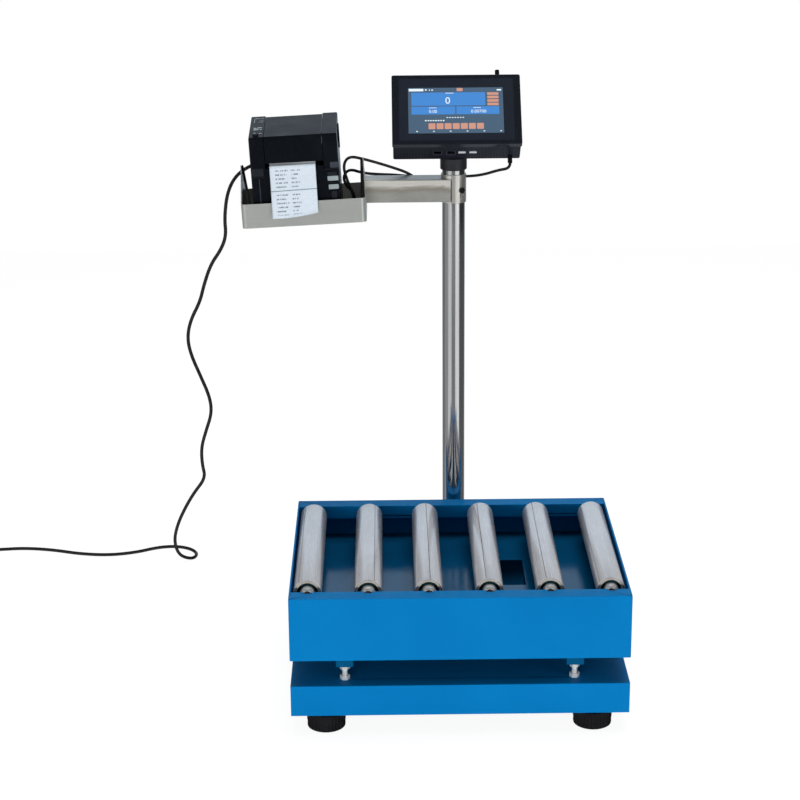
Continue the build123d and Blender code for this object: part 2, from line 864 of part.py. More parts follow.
# Printer cheeks: the upper case beside the cover, joined behind it by a low bridge
with BuildPart() as printer_cheeks:
    for side in (-1, 1):
        low_x = print_x + (cheek_in if side == 1 else -print_w / 2)
        with BuildSketch(tray_side(low_x)):
            with BuildLine():
                cheek_outline()
            make_face()
        extrude(amount=cheek_w)
        outer = printer_cheeks.faces().sort_by(Axis.X)[0 if side == -1 else -1]
        fillet(outer.edges().sort_by(Axis.Z)[1:], print_soft)
        with BuildSketch(tray_side(low_x + print_wall)):
            with BuildLine():
                Polyline(
                    (print_front + print_wall, print_part),
                    (print_front + print_wall, top_at(print_front) - print_wall),
                    (print_back - print_wall, top_at(print_back) - print_wall),
                    (print_back - print_wall, print_part),
                    close=True,
                )
            make_face()
        extrude(amount=cheek_w - 2 * print_wall, mode=Mode.SUBTRACT)
    with BuildSketch(tray_floor(z=print_part)):
        with Locations((print_x, (bridge_y + print_back) / 2)):
            Rectangle(2 * cheek_in, print_back - bridge_y)
    extrude(amount=bridge_top - print_part)
    with BuildSketch(tray_side(print_x - print_w / 2 + print_wall * 2)):
        with Locations((cover_axis_y, cover_axis_z)):
            Circle(cover_pin_r + run_fit)
    extrude(amount=print_w - 4 * print_wall, mode=Mode.SUBTRACT)
    with BuildSketch(tray_floor(z=print_top_back)):
        with Locations((print_x + button_x, button_y)):
            Circle(button_r + button_gap)
    extrude(amount=-(print_top_back - top_at(button_y) + 3 * print_wall), mode=Mode.SUBTRACT)
    with BuildSketch(tray_side(print_x + print_w / 2)):
        with Locations((-latch_travel / 2, (latch_low + latch_high) / 2)):
            Rectangle(latch_neck_d + latch_travel + 2 * latch_clear, latch_neck_h + 2 * latch_gap)
    extrude(amount=-2 * print_wall, mode=Mode.SUBTRACT)
save(printer_cheeks, "printer_cheeks")

lid_back = bridge_y - cover_gap

# Printer cover: the lid over the paper, on stub pins at its back
with BuildPart() as printer_cover:
    with BuildSketch(tray_side(print_x - cover_w / 2)):
        with BuildLine():
            FilletPolyline(
                (print_front, cover_low),
                (print_front, top_at(print_front)),
                (lid_back, top_at(lid_back)),
                radius=print_round,
            )
            Polyline(
                (lid_back, top_at(lid_back)),
                (lid_back, cover_axis_z - 2 * cover_pin_r),
                (cover_axis_y - 4 * cover_pin_r, cover_axis_z - 3 * cover_pin_r),
                (print_front + 2 * print_wall, cover_low),
                (print_front, cover_low),
            )
        make_face()
    extrude(amount=cover_w)
    with BuildSketch(tray_side(print_x - cover_w / 2 + print_wall)):
        with BuildLine():
            Polyline(
                (print_front + print_wall, 0),
                (print_front + print_wall, top_at(print_front) - print_wall),
                (lid_back - print_wall, top_at(lid_back) - print_wall),
                (lid_back - print_wall, 0),
                close=True,
            )
        make_face()
    extrude(amount=cover_w - 2 * print_wall, mode=Mode.SUBTRACT)
    for side in (-1, 1):
        with BuildSketch(tray_side(print_x + side * (cover_w / 2 - print_wall))):
            with Locations((cover_axis_y, cover_axis_z)):
                Circle(cover_pin_r)
        extrude(amount=side * (2 * print_wall + cover_gap))
save(printer_cover, "printer_cover")

# Print head: the heated bar under the cover's front edge, over the platen
head_low = platen_z + platen_r + head_gap
with BuildPart() as print_head:
    with BuildSketch(tray_floor(z=head_low)):
        with Locations((print_x + paper_x, (print_front + print_wall + platen_y + head_back) / 2)):
            Rectangle(paper_w, platen_y + head_back - print_front - print_wall)
    extrude(amount=print_wall)
    with BuildSketch(tray_floor(z=head_low + print_wall)):
        with Locations((print_x + paper_x, print_front + print_wall * 2)):
            Rectangle(paper_w, print_wall * 2)
    extrude(amount=cover_low - head_low + 4 * print_wall)
save(print_head, "print_head")

# Platen roller
with BuildPart() as platen_roller:
    with BuildSketch(tray_side(print_x + paper_x - platen_len / 2)):
        with Locations((platen_y, platen_z)):
            Circle(platen_r)
    extrude(amount=platen_len)
    with BuildSketch(tray_side(print_x + paper_x - ear_x - ear_t / 2)):
        with Locations((platen_y, platen_z)):
            Circle(platen_shaft_r)
    extrude(amount=2 * ear_x + ear_t)
save(platen_roller, "platen_roller")

# Label roll: paper wound on a core whose ends turn in the ears
with BuildPart() as label_roll:
    with BuildSketch(tray_side(print_x + paper_x - paper_w / 2)):
        with Locations((reel_y, reel_z)):
            Circle(reel_r)
    extrude(amount=paper_w)
    with BuildSketch(tray_side(print_x + paper_x - ear_x - ear_t / 2)):
        with Locations((reel_y, reel_z)):
            Circle(reel_core_r)
    extrude(amount=2 * ear_x + ear_t)
save(label_roll, "label_roll")

# Printer feet: four rubber pads between the case and the tray's floor
with BuildPart() as printer_feet:
    with BuildSketch(tray_floor(z=tray_t)):
        with Locations((print_x, print_mid_y)):
            with GridLocations(print_w - 4 * print_foot_r, print_d - 4 * print_foot_r, 2, 2):
                Circle(print_foot_r)
    extrude(amount=print_foot_h)
save(printer_feet, "printer_feet")

# Feed button in the left cheek, with a flange that holds it in
button_low = top_at(button_y) - 2 * print_wall
with BuildPart() as feed_button:
    with BuildSketch(tray_floor(z=button_low - button_rim)):
        with Locations((print_x + button_x, button_y)):
            Circle(button_r)
    extrude(amount=top_at(button_y) + button_rise - button_low + button_rim)
    with BuildSketch(tray_floor(z=button_low - 2 * button_rim)):
        with Locations((print_x + button_x, button_y)):
            Circle(button_r + button_rim)
    extrude(amount=button_rim)
save(feed_button, "feed_button")

# Cover latch: a thumb slide on the right cheek
latch_mid = (latch_low + latch_high) / 2
latch_x = print_x + print_w / 2 + latch_gap
latch_in = print_wall + 2 * latch_gap
with BuildPart() as cover_latch:
    with BuildSketch(tray_side(latch_x)):
        with Locations((0, latch_mid)):
            Rectangle(latch_d, latch_high - latch_low)
    extrude(amount=latch_t)
    with BuildSketch(tray_side(latch_x)):
        with Locations((0, latch_mid)):
            Rectangle(latch_neck_d, latch_neck_h)
    extrude(amount=-latch_in)
    with BuildSketch(tray_side(latch_x - latch_in)):
        with Locations((0, latch_mid)):
            Rectangle(latch_neck_d + 2 * (latch_travel + latch_hold), latch_neck_h)
    extrude(amount=-latch_t)
save(cover_latch, "cover_latch")


def label_line():
    """The label strip's path from the platen, out of the mouth and down over the tray."""
    FilletPolyline(
        (platen_y, platen_z + platen_r + label_gap),
        (print_front - label_over, platen_z + platen_r + label_gap),
        (print_front - label_bend[0], platen_z + label_bend[1]),
        (print_front - label_slack[0], tray_h + label_slack[1]),
        (-tray_d / 2 - label_rim[0], tray_h + label_rim[1]),
        (-tray_d / 2 - label_low[0], tray_h / 2 + label_low[1]),
        (-tray_d / 2 - label_end[0], tray_h / 2 + label_end[1]),
        radius=label_corner,
    )


# Label strip: printed labels on their backing, hanging out of the mouth
with BuildPart() as label_strip:
    with BuildSketch(tray_side(print_x + paper_x - paper_w / 2)):
        with BuildLine():
            label_line()
            offset(amount=label_t, side=Side.RIGHT)
        make_face()
    extrude(amount=paper_w)
save(label_strip, "label_strip")

plug_y = print_back + plug_l

# Lead plug in the printer's back, with its tapered strain relief
with BuildPart() as lead_plug:
    with BuildSketch(tray_back(plug_y)):
        with Locations((print_x + plug_x, plug_z)):
            RectangleRounded(plug_w, plug_h, plug_round)
    extrude(amount=plug_l)
    with BuildSketch(tray_back(plug_y)):
        with Locations((print_x + plug_x, plug_z)):
            Circle(plug_h / 2 - relief_step)
    with BuildSketch(tray_back(plug_y + relief_l)):
        with Locations((print_x + plug_x, plug_z)):
            Circle(power_d / 2 + relief_wall)
    loft()
save(lead_plug, "lead_plug")

power_exit = tray_point(print_x + plug_x, plug_y + relief_l, plug_z)
floor_z = power_d / 2

# Printer power lead: hangs from the plug, kinks on the way down and runs left along the floor
power_route = [
    (power_exit.X, power_exit.Y, power_exit.Z),
    (power_exit.X, power_exit.Y + power_run, power_exit.Z),
    (-286.0, 384.0, 748.0),
    (-316.0, 394.0, 741.0),
    (-346.6, 387.0, 725.0),
    (-363.0, 378.0, 697.0),
    (-368.5, 368.0, 655.0),
    (-366.0, 361.0, 627.0),
    (-375.0, 357.0, 604.0),
    (-393.0, 359.0, 579.0),
    (-406.0, 362.0, 543.0),
    (-414.0, 366.0, 513.0),
    (-431.5, 371.0, 480.0),
    (-439.0, 377.0, 448.0),
    (-435.0, 384.0, 416.0),
    (-420.0, 392.0, 373.0),
    (-407.0, 400.0, 334.0),
    (-405.5, 407.0, 303.0),
    (-417.0, 415.0, 269.0),
    (-427.5, 423.0, 235.0),
    (-428.0, 432.0, 200.0),
    (-423.5, 438.0, 173.0),
    (-446.0, 446.0, 142.0),
    (-464.0, 453.0, 110.0),
    (-479.0, 458.0, 77.0),
    (-487.0, 463.0, 44.0),
    (-480.0, 470.0, 13.0),
    (-457.0, 477.0, floor_z),
    (-449.0, 501.0, floor_z),
    (-464.0, 527.0, floor_z),
    (-494.0, 540.0, floor_z),
    (-527.0, 534.0, floor_z),
    (-562.0, 512.0, floor_z),
    (-610.0, 500.0, floor_z),
    (-665.0, 508.0, floor_z),
    (-715.0, 528.0, floor_z),
    (-770.0, 538.0, floor_z),
    (-815.0, coil_at[1] + coil_turn_r, floor_z),
    (coil_at[0] + coil_tail, coil_at[1] + coil_turn_r, floor_z),
]
power_length = lead("power_lead", power_route, power_d)

coil_band = 2 * power_d
upper_z = 1.5 * power_d

# Coil: the outer shape of the put-away turns, with the lead's way in and its way out to the plug
with BuildPart() as lead_coil:
    with BuildSketch():
        with Locations(coil_at):
            Circle(coil_turn_r + coil_band / 2)
            Circle(coil_turn_r - coil_band / 2, mode=Mode.SUBTRACT)
    extrude(amount=coil_band)
    with BuildSketch(Plane.YZ.offset(coil_at[0])):
        with Locations((coil_at[1] + coil_turn_r, floor_z)):
            Circle(power_d / 2)
    extrude(amount=coil_tail)
    with BuildSketch(Plane.YZ.offset(coil_at[0])):
        with Locations((coil_at[1] + coil_turn_r, upper_z)):
            Circle(power_d / 2)
    extrude(amount=-coil_tail)
save(lead_coil, "lead_coil")
coil_length = 2 * math.pi * coil_turn_r * coil_turns
print("power lead with coil", round(power_length + coil_length + 2 * coil_tail))

grip_l = 30.0
grip_w = 24.0
grip_h = 2 * upper_z
grip_round = 5.0
pin_r = 2.4
pin_pitch = 12.0
pin_l = 18.0
plug_axis = (coil_at[1] + coil_turn_r, upper_z)
relief_end = coil_at[0] - coil_tail
grip_end = relief_end - relief_l

# Mains plug on the floor beside the coil, pins pointing left
with BuildPart() as mains_plug:
    with BuildSketch(Plane.YZ.offset(relief_end)):
        with Locations(plug_axis):
            Circle(power_d / 2 + relief_wall)
    with BuildSketch(Plane.YZ.offset(grip_end)):
        with Locations(plug_axis):
            Circle(grip_h / 2 - relief_step)
    loft()
    with BuildSketch(Plane.YZ.offset(grip_end)):
        with Locations(plug_axis):
            RectangleRounded(grip_w, grip_h, grip_round)
    extrude(amount=-grip_l)
    with BuildSketch(Plane.YZ.offset(grip_end - grip_l)):
        with Locations(plug_axis):
            with GridLocations(pin_pitch, 0, 2, 1):
                Circle(pin_r)
    extrude(amount=-pin_l)
save(mains_plug, "mains_plug")

tilt_rad = math.radians(tilt)
screen_up = Vector(0, math.sin(tilt_rad), math.cos(tilt_rad))
screen_out = Vector(0, -math.cos(tilt_rad), math.sin(tilt_rad))
ind_origin = Vector(ind_x, ind_y, ind_z)


def screen(out=0.0, up=0.0):
    """A plane parallel to the screen, out from the indicator's back and up from its foot."""
    return Plane(origin=ind_origin + screen_out * out + screen_up * up, x_dir=(1, 0, 0), z_dir=screen_out)


def ind_floor():
    """The indicator's underside: x right, y out towards the screen, facing down."""
    return Plane(origin=ind_origin, x_dir=(1, 0, 0), z_dir=screen_up * -1)


case_t = ind_t - bezel_t

# Indicator case: the rear shell, with ports in its underside
with BuildPart() as indicator_case:
    with BuildSketch(screen()):
        with Locations((0, ind_h / 2)):
            RectangleRounded(ind_w - case_step, ind_h - case_step, ind_corner)
    extrude(amount=case_t)
    with BuildSketch(screen(out=ind_wall)):
        with Locations((0, ind_h / 2)):
            hollow = case_step + 2 * ind_wall
            RectangleRounded(ind_w - hollow, ind_h - hollow, ind_corner - ind_wall)
    extrude(amount=case_t, mode=Mode.SUBTRACT)
    with BuildSketch(ind_floor().offset(-2 * ind_wall)):
        with Locations(*[(x, case_t / 2) for x in port_xs]):
            Rectangle(port_w, port_h)
    extrude(amount=2 * ind_wall, mode=Mode.SUBTRACT)
save(indicator_case, "indicator_case")

# Indicator bezel: the front frame around the glass
with BuildPart() as indicator_bezel:
    with BuildSketch(screen(out=case_t)):
        with Locations((0, ind_h / 2)):
            RectangleRounded(ind_w, ind_h, ind_corner)
    extrude(amount=bezel_t)
    front_face = indicator_bezel.faces().sort_by(Axis(ind_origin, screen_out))[-1]
    fillet(front_face.edges(), ind_soft)
    with BuildSketch(screen(out=ind_t - glass_t)):
        with Locations((0, ind_h / 2)):
            Rectangle(glass_w, glass_h)
    extrude(amount=glass_t, mode=Mode.SUBTRACT)
    with BuildSketch(screen(out=case_t)):
        with Locations((0, ind_h / 2)):
            Rectangle(display_w, display_h)
    extrude(amount=bezel_t, mode=Mode.SUBTRACT)
save(indicator_bezel, "indicator_bezel")

# Touch screen: the glass with its display behind
with BuildPart() as touch_screen:
    with BuildSketch(screen(out=ind_t - glass_t)):
        with Locations((0, ind_h / 2)):
            Rectangle(glass_w, glass_h)
    extrude(amount=glass_t - glass_set)
    with BuildSketch(screen(out=case_t + display_gap)):
        with Locations((0, ind_h / 2)):
            Rectangle(display_w - 2 * display_gap, display_h - 2 * display_gap)
    extrude(amount=bezel_t - glass_t - display_gap)
save(touch_screen, "touch_screen")

collar_top = ind_z - collar_gap
cap_low = column_top + collar_gap

# Swivel collar: turns on the column's top and carries the indicator on a raked neck
with BuildPart() as swivel_collar:
    with BuildSketch(Plane.XY.offset(collar_z)):
        with Locations((column_x, column_y)):
            Circle(collar_r)
    extrude(amount=collar_top - collar_z)
    chamfer(swivel_collar.faces().sort_by(Axis.Z)[0].edges(), collar_edge)
    with BuildSketch(Plane.YZ.offset(column_x - neck_w / 2)):
        with BuildLine():
            low = ind_origin + screen_up * neck_start
            rise = ind_origin + screen_up * neck_reach
            Polyline(
                (low.Y, cap_low + neck_t / 4),
                (low.Y, low.Z),
                (rise.Y, rise.Z),
                (rise.Y + neck_t, rise.Z - neck_t),
                (low.Y + 1.5 * neck_t, cap_low + neck_t / 4),
                close=True,
            )
        make_face()
    extrude(amount=neck_w)
    with BuildSketch(Plane.XY.offset(collar_z)):
        with Locations((column_x, column_y)):
            Circle(column_r + collar_fit)
    extrude(amount=cap_low - collar_z, mode=Mode.SUBTRACT)
save(swivel_collar, "swivel_collar")

# Aerial stub on the indicator's top edge
with BuildPart() as aerial:
    stub = ind_origin + screen_up * (ind_h - case_step / 2) + screen_out * (case_t / 3)
    with BuildSketch(Plane(origin=stub, x_dir=(1, 0, 0), z_dir=screen_up)):
        with Locations((aerial_x, 0)):
            Circle(aerial_r)
    extrude(amount=aerial_h)
save(aerial, "aerial")

gland_mid = ind_origin + screen_out * gland_out + screen_up * (case_step / 2)

# Data plug: the lead's gland in the indicator's underside
with BuildPart() as data_plug:
    with BuildSketch(Plane(origin=gland_mid, x_dir=(1, 0, 0), z_dir=screen_up * -1)):
        with Locations((gland_x, 0)):
            Circle(gland_r)
    extrude(amount=gland_l)
save(data_plug, "data_plug")

gland_end = gland_mid + Vector(gland_x, 0, 0) - screen_up * gland_l
gland_next = gland_end - screen_up * gland_run
drop_x = column_x + 9.5
drop_y = column_y + column_r + 11.0
drop_z = 728.0
drop_gap = 0.3

# Indicator lead: swings with the indicator and ends on an upright run behind the column
indicator_route = [
    (gland_end.X, gland_end.Y, gland_end.Z),
    (gland_next.X, gland_next.Y, gland_next.Z),
    (72.0, 190.0, 767.0),
    (54.0, 212.0, 756.5),
    (34.0, 238.0, 748.0),
    (drop_x, drop_y, 744.0),
    (drop_x, drop_y, drop_z + drop_gap / 2),
]
lead("indicator_lead", indicator_route, data_d)

adapter_x = -19.0
adapter_w = 22.0
adapter_h = 16.0
adapter_round = 3.0
adapter_y0 = -10.0
adapter_y1 = 36.0
data_in_y = -3.0
network_in_y = 28.0
boot_r = 4.0
boot_h = 5.0

# Lead adapter: the box on the tray's floor beside the printer where both leads plug in
with BuildPart() as lead_adapter:
    with BuildSketch(tray_floor(z=tray_t)):
        with Locations((adapter_x, (adapter_y0 + adapter_y1) / 2)):
            RectangleRounded(adapter_w, adapter_y1 - adapter_y0, adapter_round)
    extrude(amount=adapter_h - boot_h)
    with BuildSketch(tray_floor(z=tray_t + adapter_h - boot_h)):
        with Locations((adapter_x, data_in_y), (adapter_x, network_in_y)):
            Circle(boot_r)
    extrude(amount=boot_h)
save(lead_adapter, "lead_adapter")

boot_top = tray_t + adapter_h
data_in = tray_point(adapter_x, data_in_y, boot_top)
data_over = tray_point(adapter_x, data_in_y, boot_top + data_rise)
network_in = tray_point(adapter_x, network_in_y, boot_top)
network_over = tray_point(adapter_x, network_in_y, boot_top + network_rise)

# Data lead: from the upright run down behind the arm, up over it and into the tray
data_route = [
    (drop_x, drop_y, drop_z - drop_gap / 2),
    (drop_x, drop_y, 706.0),
    (-16.0, drop_y, 706.0),
    (-44.0, 257.0, 728.0),
    (-60.0, 253.0, 749.0),
    (-98.0, 246.0, 764.0),
    (-135.0, 237.0, 777.0),
    (-160.0, 229.0, 784.0),
    (-169.0, 227.0, 768.0),
    (-161.0, 226.0, 742.0),
    (data_over.X, data_over.Y, data_over.Z),
    (data_in.X, data_in.Y, data_in.Z),
]
lead("data_lead", data_route, data_d)

# Network lead: from the arm's gland along its back and into the tray
network_route = [
    (arm_gland_x, arm_gland_y, arm_gland_z),
    (arm_gland_x, arm_gland_y + arm_run, arm_gland_z),
    (-58.0, 273.0, 741.0),
    (-88.0, 271.0, 744.5),
    (-114.0, 269.0, 746.0),
    (-138.0, 267.5, 748.5),
    (-160.0, 262.0, 757.0),
    (-170.0, 260.0, 744.0),
    (-164.0, 258.0, 730.0),
    (network_over.X, network_over.Y, network_over.Z),
    (network_in.X, network_in.Y, network_in.Z),
]
lead("network_lead", network_route, network_d)

# Load cell lead: runs inside the base to the socket and up inside the column
cell_wire_x = cell_hole_x - cell_x / 2
cell_run = 60.0
cell_wire_in = 50.0
cell_skew = 0.3
cell_turn = 26.0
cell_route = [
    (cell_wire_x, cell_y / 2, lead_z),
    (cell_wire_x, cell_y / 2 + cell_run, lead_z),
    (column_x, half_y - cell_wire_in, lead_z),
    (column_x - cell_skew, column_y - column_r - cell_skew, lead_z),
    (column_x, column_y + column_r / 6, lead_z),
    (column_x, column_y + cell_skew, lead_z + cell_turn),
    (column_x, column_y, column_top - 20.0),
]
lead("cell_lead", cell_route, cell_lead_d)
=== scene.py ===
"""Finishes, leads and small fittings for a roller scale with an indicator and a label printer."""

import math

import bmesh
import bpy
import numpy as np
from mathutils import Matrix, Vector


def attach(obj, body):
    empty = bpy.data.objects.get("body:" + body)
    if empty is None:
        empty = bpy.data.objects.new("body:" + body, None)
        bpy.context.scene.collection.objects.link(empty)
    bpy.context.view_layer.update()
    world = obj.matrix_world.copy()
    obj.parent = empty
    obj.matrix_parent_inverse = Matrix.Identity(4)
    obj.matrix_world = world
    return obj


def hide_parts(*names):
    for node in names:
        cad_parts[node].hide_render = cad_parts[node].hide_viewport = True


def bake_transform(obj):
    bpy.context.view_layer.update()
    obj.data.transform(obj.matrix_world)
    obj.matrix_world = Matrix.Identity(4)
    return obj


bl_info = {
    "name": "Roller Scale",
    "version": (1, 0, 0),
    "blender": (4, 5, 0),
    "location": "View3D > Sidebar > Scale",
    "description": "Finishes, leads and small fittings for a roller scale",
    "category": "Object",
}

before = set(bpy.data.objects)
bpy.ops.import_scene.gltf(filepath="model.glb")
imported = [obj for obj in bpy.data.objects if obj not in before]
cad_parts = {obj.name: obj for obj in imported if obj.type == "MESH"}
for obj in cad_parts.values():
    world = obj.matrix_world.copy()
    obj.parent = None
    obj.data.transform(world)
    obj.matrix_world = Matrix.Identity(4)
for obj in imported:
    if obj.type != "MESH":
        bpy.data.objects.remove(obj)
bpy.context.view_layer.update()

MM = 0.001

# Places shared with the solids, in millimetres
COLUMN_AT = (4.5, 229.0)
TRAY_AT = (-132.0, 229.0, 692.0)
TRAY_SAG = math.radians(2.8)
INDICATOR_AT = (8.5, 208.3, 780.5)
GLASS_OUT = 47.7
PORTS_OUT = 19.0
TILT = math.radians(41.0)
ROLLER_XS = [-223.5 + 89.4 * i for i in range(6)]
ROLLER_Z = 209.0
# Where each roller's weld seam stands at rest, in degrees from the top towards the right
SEAM_TURNS = (-38.0, 27.0, 6.0, -14.0, -17.0, -52.0)
# Half the length of a roller's tube
ROLLER_HALF = 155.5
FOOT_AT = [(sx * 199.0, sy * 164.0) for sx in (-1, 1) for sy in (-1, 1)]
COIL_AT = (-880.0, 500.0)

# Camera that took the picture, found from the platform's edges
CAMERA_AT = (-0.1030, -2.8765, 1.3977)
CAMERA_PITCH = math.radians(18.12)
CAMERA_YAW = math.radians(0.380)
CAMERA_ROLL = math.radians(-0.478)
CAMERA_LENS = 90.42


def srgb(r, g, b):
    """Linear colour from display values of 0 to 255."""
    c = np.array((r, g, b)) / 255.0
    linear = np.where(c <= 0.04045, c / 12.92, ((c + 0.055) / 1.055) ** 2.4)
    return (*(float(v) for v in linear), 1.0)


WHITE = (1.0, 1.0, 1.0, 1.0)
BLUE_SHEEN = srgb(205, 228, 252)


class Finish:
    """A node material being made: one shader and the patterns that vary it."""

    def __init__(self, name, color, roughness, metallic=0.0, sockets=None):
        self.material = bpy.data.materials.new(name)
        self.material.use_nodes = True
        self.tree = self.material.node_tree
        self.shader = self.tree.nodes["Principled BSDF"]
        self.shader.inputs["Base Color"].default_value = color
        self.shader.inputs["Roughness"].default_value = roughness
        self.shader.inputs["Metallic"].default_value = metallic
        for socket, value in (sockets or {}).items():
            self.shader.inputs[socket].default_value = value
        self.normal = None

    def node(self, kind, attributes=None, inputs=None):
        made = self.tree.nodes.new(kind)
        for key, value in (attributes or {}).items():
            setattr(made, key, value)
        for key, value in (inputs or {}).items():
            if isinstance(value, bpy.types.NodeSocket):
                self.tree.links.new(value, made.inputs[key])
            else:
                made.inputs[key].default_value = value
        return made

    def place(self, stretch=(1, 1, 1), source="Object"):
        """Coordinates of the piece, stretched."""
        coordinate = self.node("ShaderNodeTexCoord").outputs[source]
        values = {"Vector": coordinate, "Scale": stretch}
        return self.node("ShaderNodeMapping", None, values).outputs[0]

    def noise(self, place, scale=1.0, detail=3.0, distortion=0.0):
        values = {"Vector": place, "Scale": scale, "Detail": detail, "Distortion": distortion}
        return self.node("ShaderNodeTexNoise", None, values).outputs[0]

    def remap(self, value, low, high, to_low=0.0, to_high=1.0):
        values = {"Value": value, "From Min": low, "From Max": high, "To Min": to_low, "To Max": to_high}
        return self.node("ShaderNodeMapRange", None, values).outputs[0]

    def math(self, operation, a, b=0.0):
        return self.node("ShaderNodeMath", {"operation": operation}, {0: a, 1: b}).outputs[0]

    def mix(self, factor, a, b):
        made = self.node("ShaderNodeMix", {"data_type": "RGBA"}, {0: factor, 6: a, 7: b})
        return made.outputs[2]

    def color(self, value):
        self.tree.links.new(value, self.shader.inputs["Base Color"])

    def rough(self, value):
        self.tree.links.new(value, self.shader.inputs["Roughness"])

    def bump(self, height, strength, distance):
        """Adds a relief of that height in metres to what is there."""
        inputs = {"Height": height, "Strength": strength, "Distance": distance}
        if self.normal is not None:
            inputs["Normal"] = self.normal
        self.normal = self.node("ShaderNodeBump", None, inputs).outputs[0]
        self.tree.links.new(self.normal, self.shader.inputs["Normal"])


def coated(name, color, light, roughness, specular, ior=1.3, peel_depth=0.00006, sheen=WHITE):
    """Sprayed enamel: slow colour drift, uneven gloss and orange peel."""
    values = {"Specular IOR Level": specular, "IOR": ior, "Specular Tint": sheen}
    f = Finish(name, color, roughness, sockets=values)
    drift = f.noise(f.place(), 7.0, 2.0)
    f.color(f.mix(f.remap(drift, 0.35, 0.7), color, light))
    f.rough(f.remap(f.noise(f.place(), 60.0, 4.0), 0.3, 0.7, roughness - 0.04, roughness + 0.06))
    f.bump(f.noise(f.place(), 420.0, 2.0), 0.5, peel_depth)
    return f.material


def brushed(name, dark, light, roughness, stretch, tint=None, metallic=0.55, relief=0.12):
    """Brushed steel: fine grain drawn out one way, with soft cloudy handling marks."""
    f = Finish(name, light, roughness, metallic)
    grain = f.noise(f.place(stretch), 1.0, 5.0)
    cloud = f.noise(f.place(), 14.0, 3.0, 0.6)
    shade = f.math("ADD", f.math("MULTIPLY", grain, 0.3), f.math("MULTIPLY", cloud, 0.7))
    color = f.mix(f.remap(shade, 0.34, 0.66), dark, light)
    if tint:
        color = tint(f, color)
    f.color(color)
    f.rough(f.remap(grain, 0.3, 0.7, roughness - 0.06, roughness + 0.1))
    f.bump(grain, relief, 0.00006)
    return f.material


def arm_painted_highlight(f, color):
    """A painted highlight: a bright band along the arm's upper front with a ragged edge, and below it a
    brownish band that fades downwards.
    """
    height = f.node("ShaderNodeSeparateXYZ", None, {0: f.place()}).outputs[2]
    wander = f.noise(f.place((1, 1, 2)), 24.0, 3.0, 1.0)
    level = f.math("ADD", height, f.math("MULTIPLY", f.math("SUBTRACT", wander, 0.5), 0.014))
    band = f.remap(level, 0.7335, 0.7400)
    below_top = f.remap(height, 0.7482, 0.7487, 1.0, 0.0)
    # The bright band is a painted highlight laid over the arm's steel.
    painted_highlight = f.mix(f.math("MULTIPLY", band, below_top), color, srgb(238, 236, 228))
    edge = f.math("MULTIPLY", f.remap(level, 0.726, 0.7335), f.math("SUBTRACT", 1.0, band))
    return f.mix(f.math("MULTIPLY", edge, 0.55), painted_highlight, srgb(150, 140, 118))


def polished(name, dark, light, roughness, stretch=(600, 600, 600), metallic=1.0):
    """Bright drawn tube: faint draw lines along it and a few dull handling patches."""
    f = Finish(name, light, roughness, metallic)
    lines = f.noise(f.place(stretch), 1.0, 4.0)
    patch = f.noise(f.place(), 18.0, 4.0, 1.0)
    f.color(f.mix(f.remap(lines, 0.36, 0.66), dark, light))
    f.rough(f.remap(patch, 0.4, 0.75, roughness, roughness + 0.1))
    f.bump(lines, 0.05, 0.00005)
    return f.material


def plated(name):
    """Zinc-plated fasteners: bright, a little uneven."""
    f = Finish(name, srgb(232, 235, 236), 0.18, 0.45)
    spots = f.noise(f.place(), 350.0, 2.0)
    f.color(f.mix(f.remap(spots, 0.35, 0.7), srgb(226, 230, 232), srgb(242, 245, 246)))
    f.rough(f.remap(spots, 0.3, 0.7, 0.14, 0.22))
    f.bump(spots, 0.03, 0.00005)
    return f.material


def moulded(name, color, light, roughness=0.4, grain_scale=1400.0, ior=1.25, sheen=WHITE):
    """Moulded plastic: fine spark grain, slightly uneven gloss and faint dust."""
    f = Finish(name, color, roughness, sockets={"IOR": ior, "Specular Tint": sheen})
    dust = f.noise(f.place(), 26.0, 4.0)
    f.color(f.mix(f.remap(dust, 0.45, 0.75), color, light))
    grain = f.noise(f.place(), grain_scale, 2.0)
    f.rough(f.remap(dust, 0.3, 0.7, roughness - 0.05, roughness + 0.08))
    f.bump(grain, 0.35, 0.00012)
    return f.material


def glossy(name, color, roughness):
    """Smooth glossy plastic or painted glass with faint smears."""
    f = Finish(name, color, roughness, sockets={"IOR": 1.4})
    smear = f.noise(f.place(), 30.0, 3.0, 1.5)
    f.rough(f.remap(smear, 0.35, 0.7, roughness, roughness + 0.08))
    return f.material


def lit(name, color):
    """A patch of a lit display: half its own light and half its colour, with faint rows."""
    half = (*(v * 0.45 for v in color[:3]), 1.0)
    f = Finish(name, half, 0.25, sockets={"IOR": 1.3})
    wave = f.node("ShaderNodeTexWave", {"bands_direction": "Z"}, {"Vector": f.place(), "Scale": 900.0})
    f.color(f.mix(f.remap(wave.outputs[1], 0.0, 1.0, 0.0, 0.12), half, (0, 0, 0, 1)))
    f.shader.inputs["Emission Color"].default_value = color
    f.shader.inputs["Emission Strength"].default_value = 0.55
    return f.material


def sheath(name):
    """Black PVC lead sheath with a faint lengthwise unevenness."""
    f = Finish(name, srgb(18, 18, 20), 0.42)
    spots = f.noise(f.place(), 260.0, 3.0)
    f.color(f.mix(f.remap(spots, 0.4, 0.7), srgb(14, 14, 16), srgb(34, 34, 37)))
    f.rough(f.remap(spots, 0.3, 0.7, 0.36, 0.5))
    f.bump(spots, 0.2, 0.0002)
    return f.material


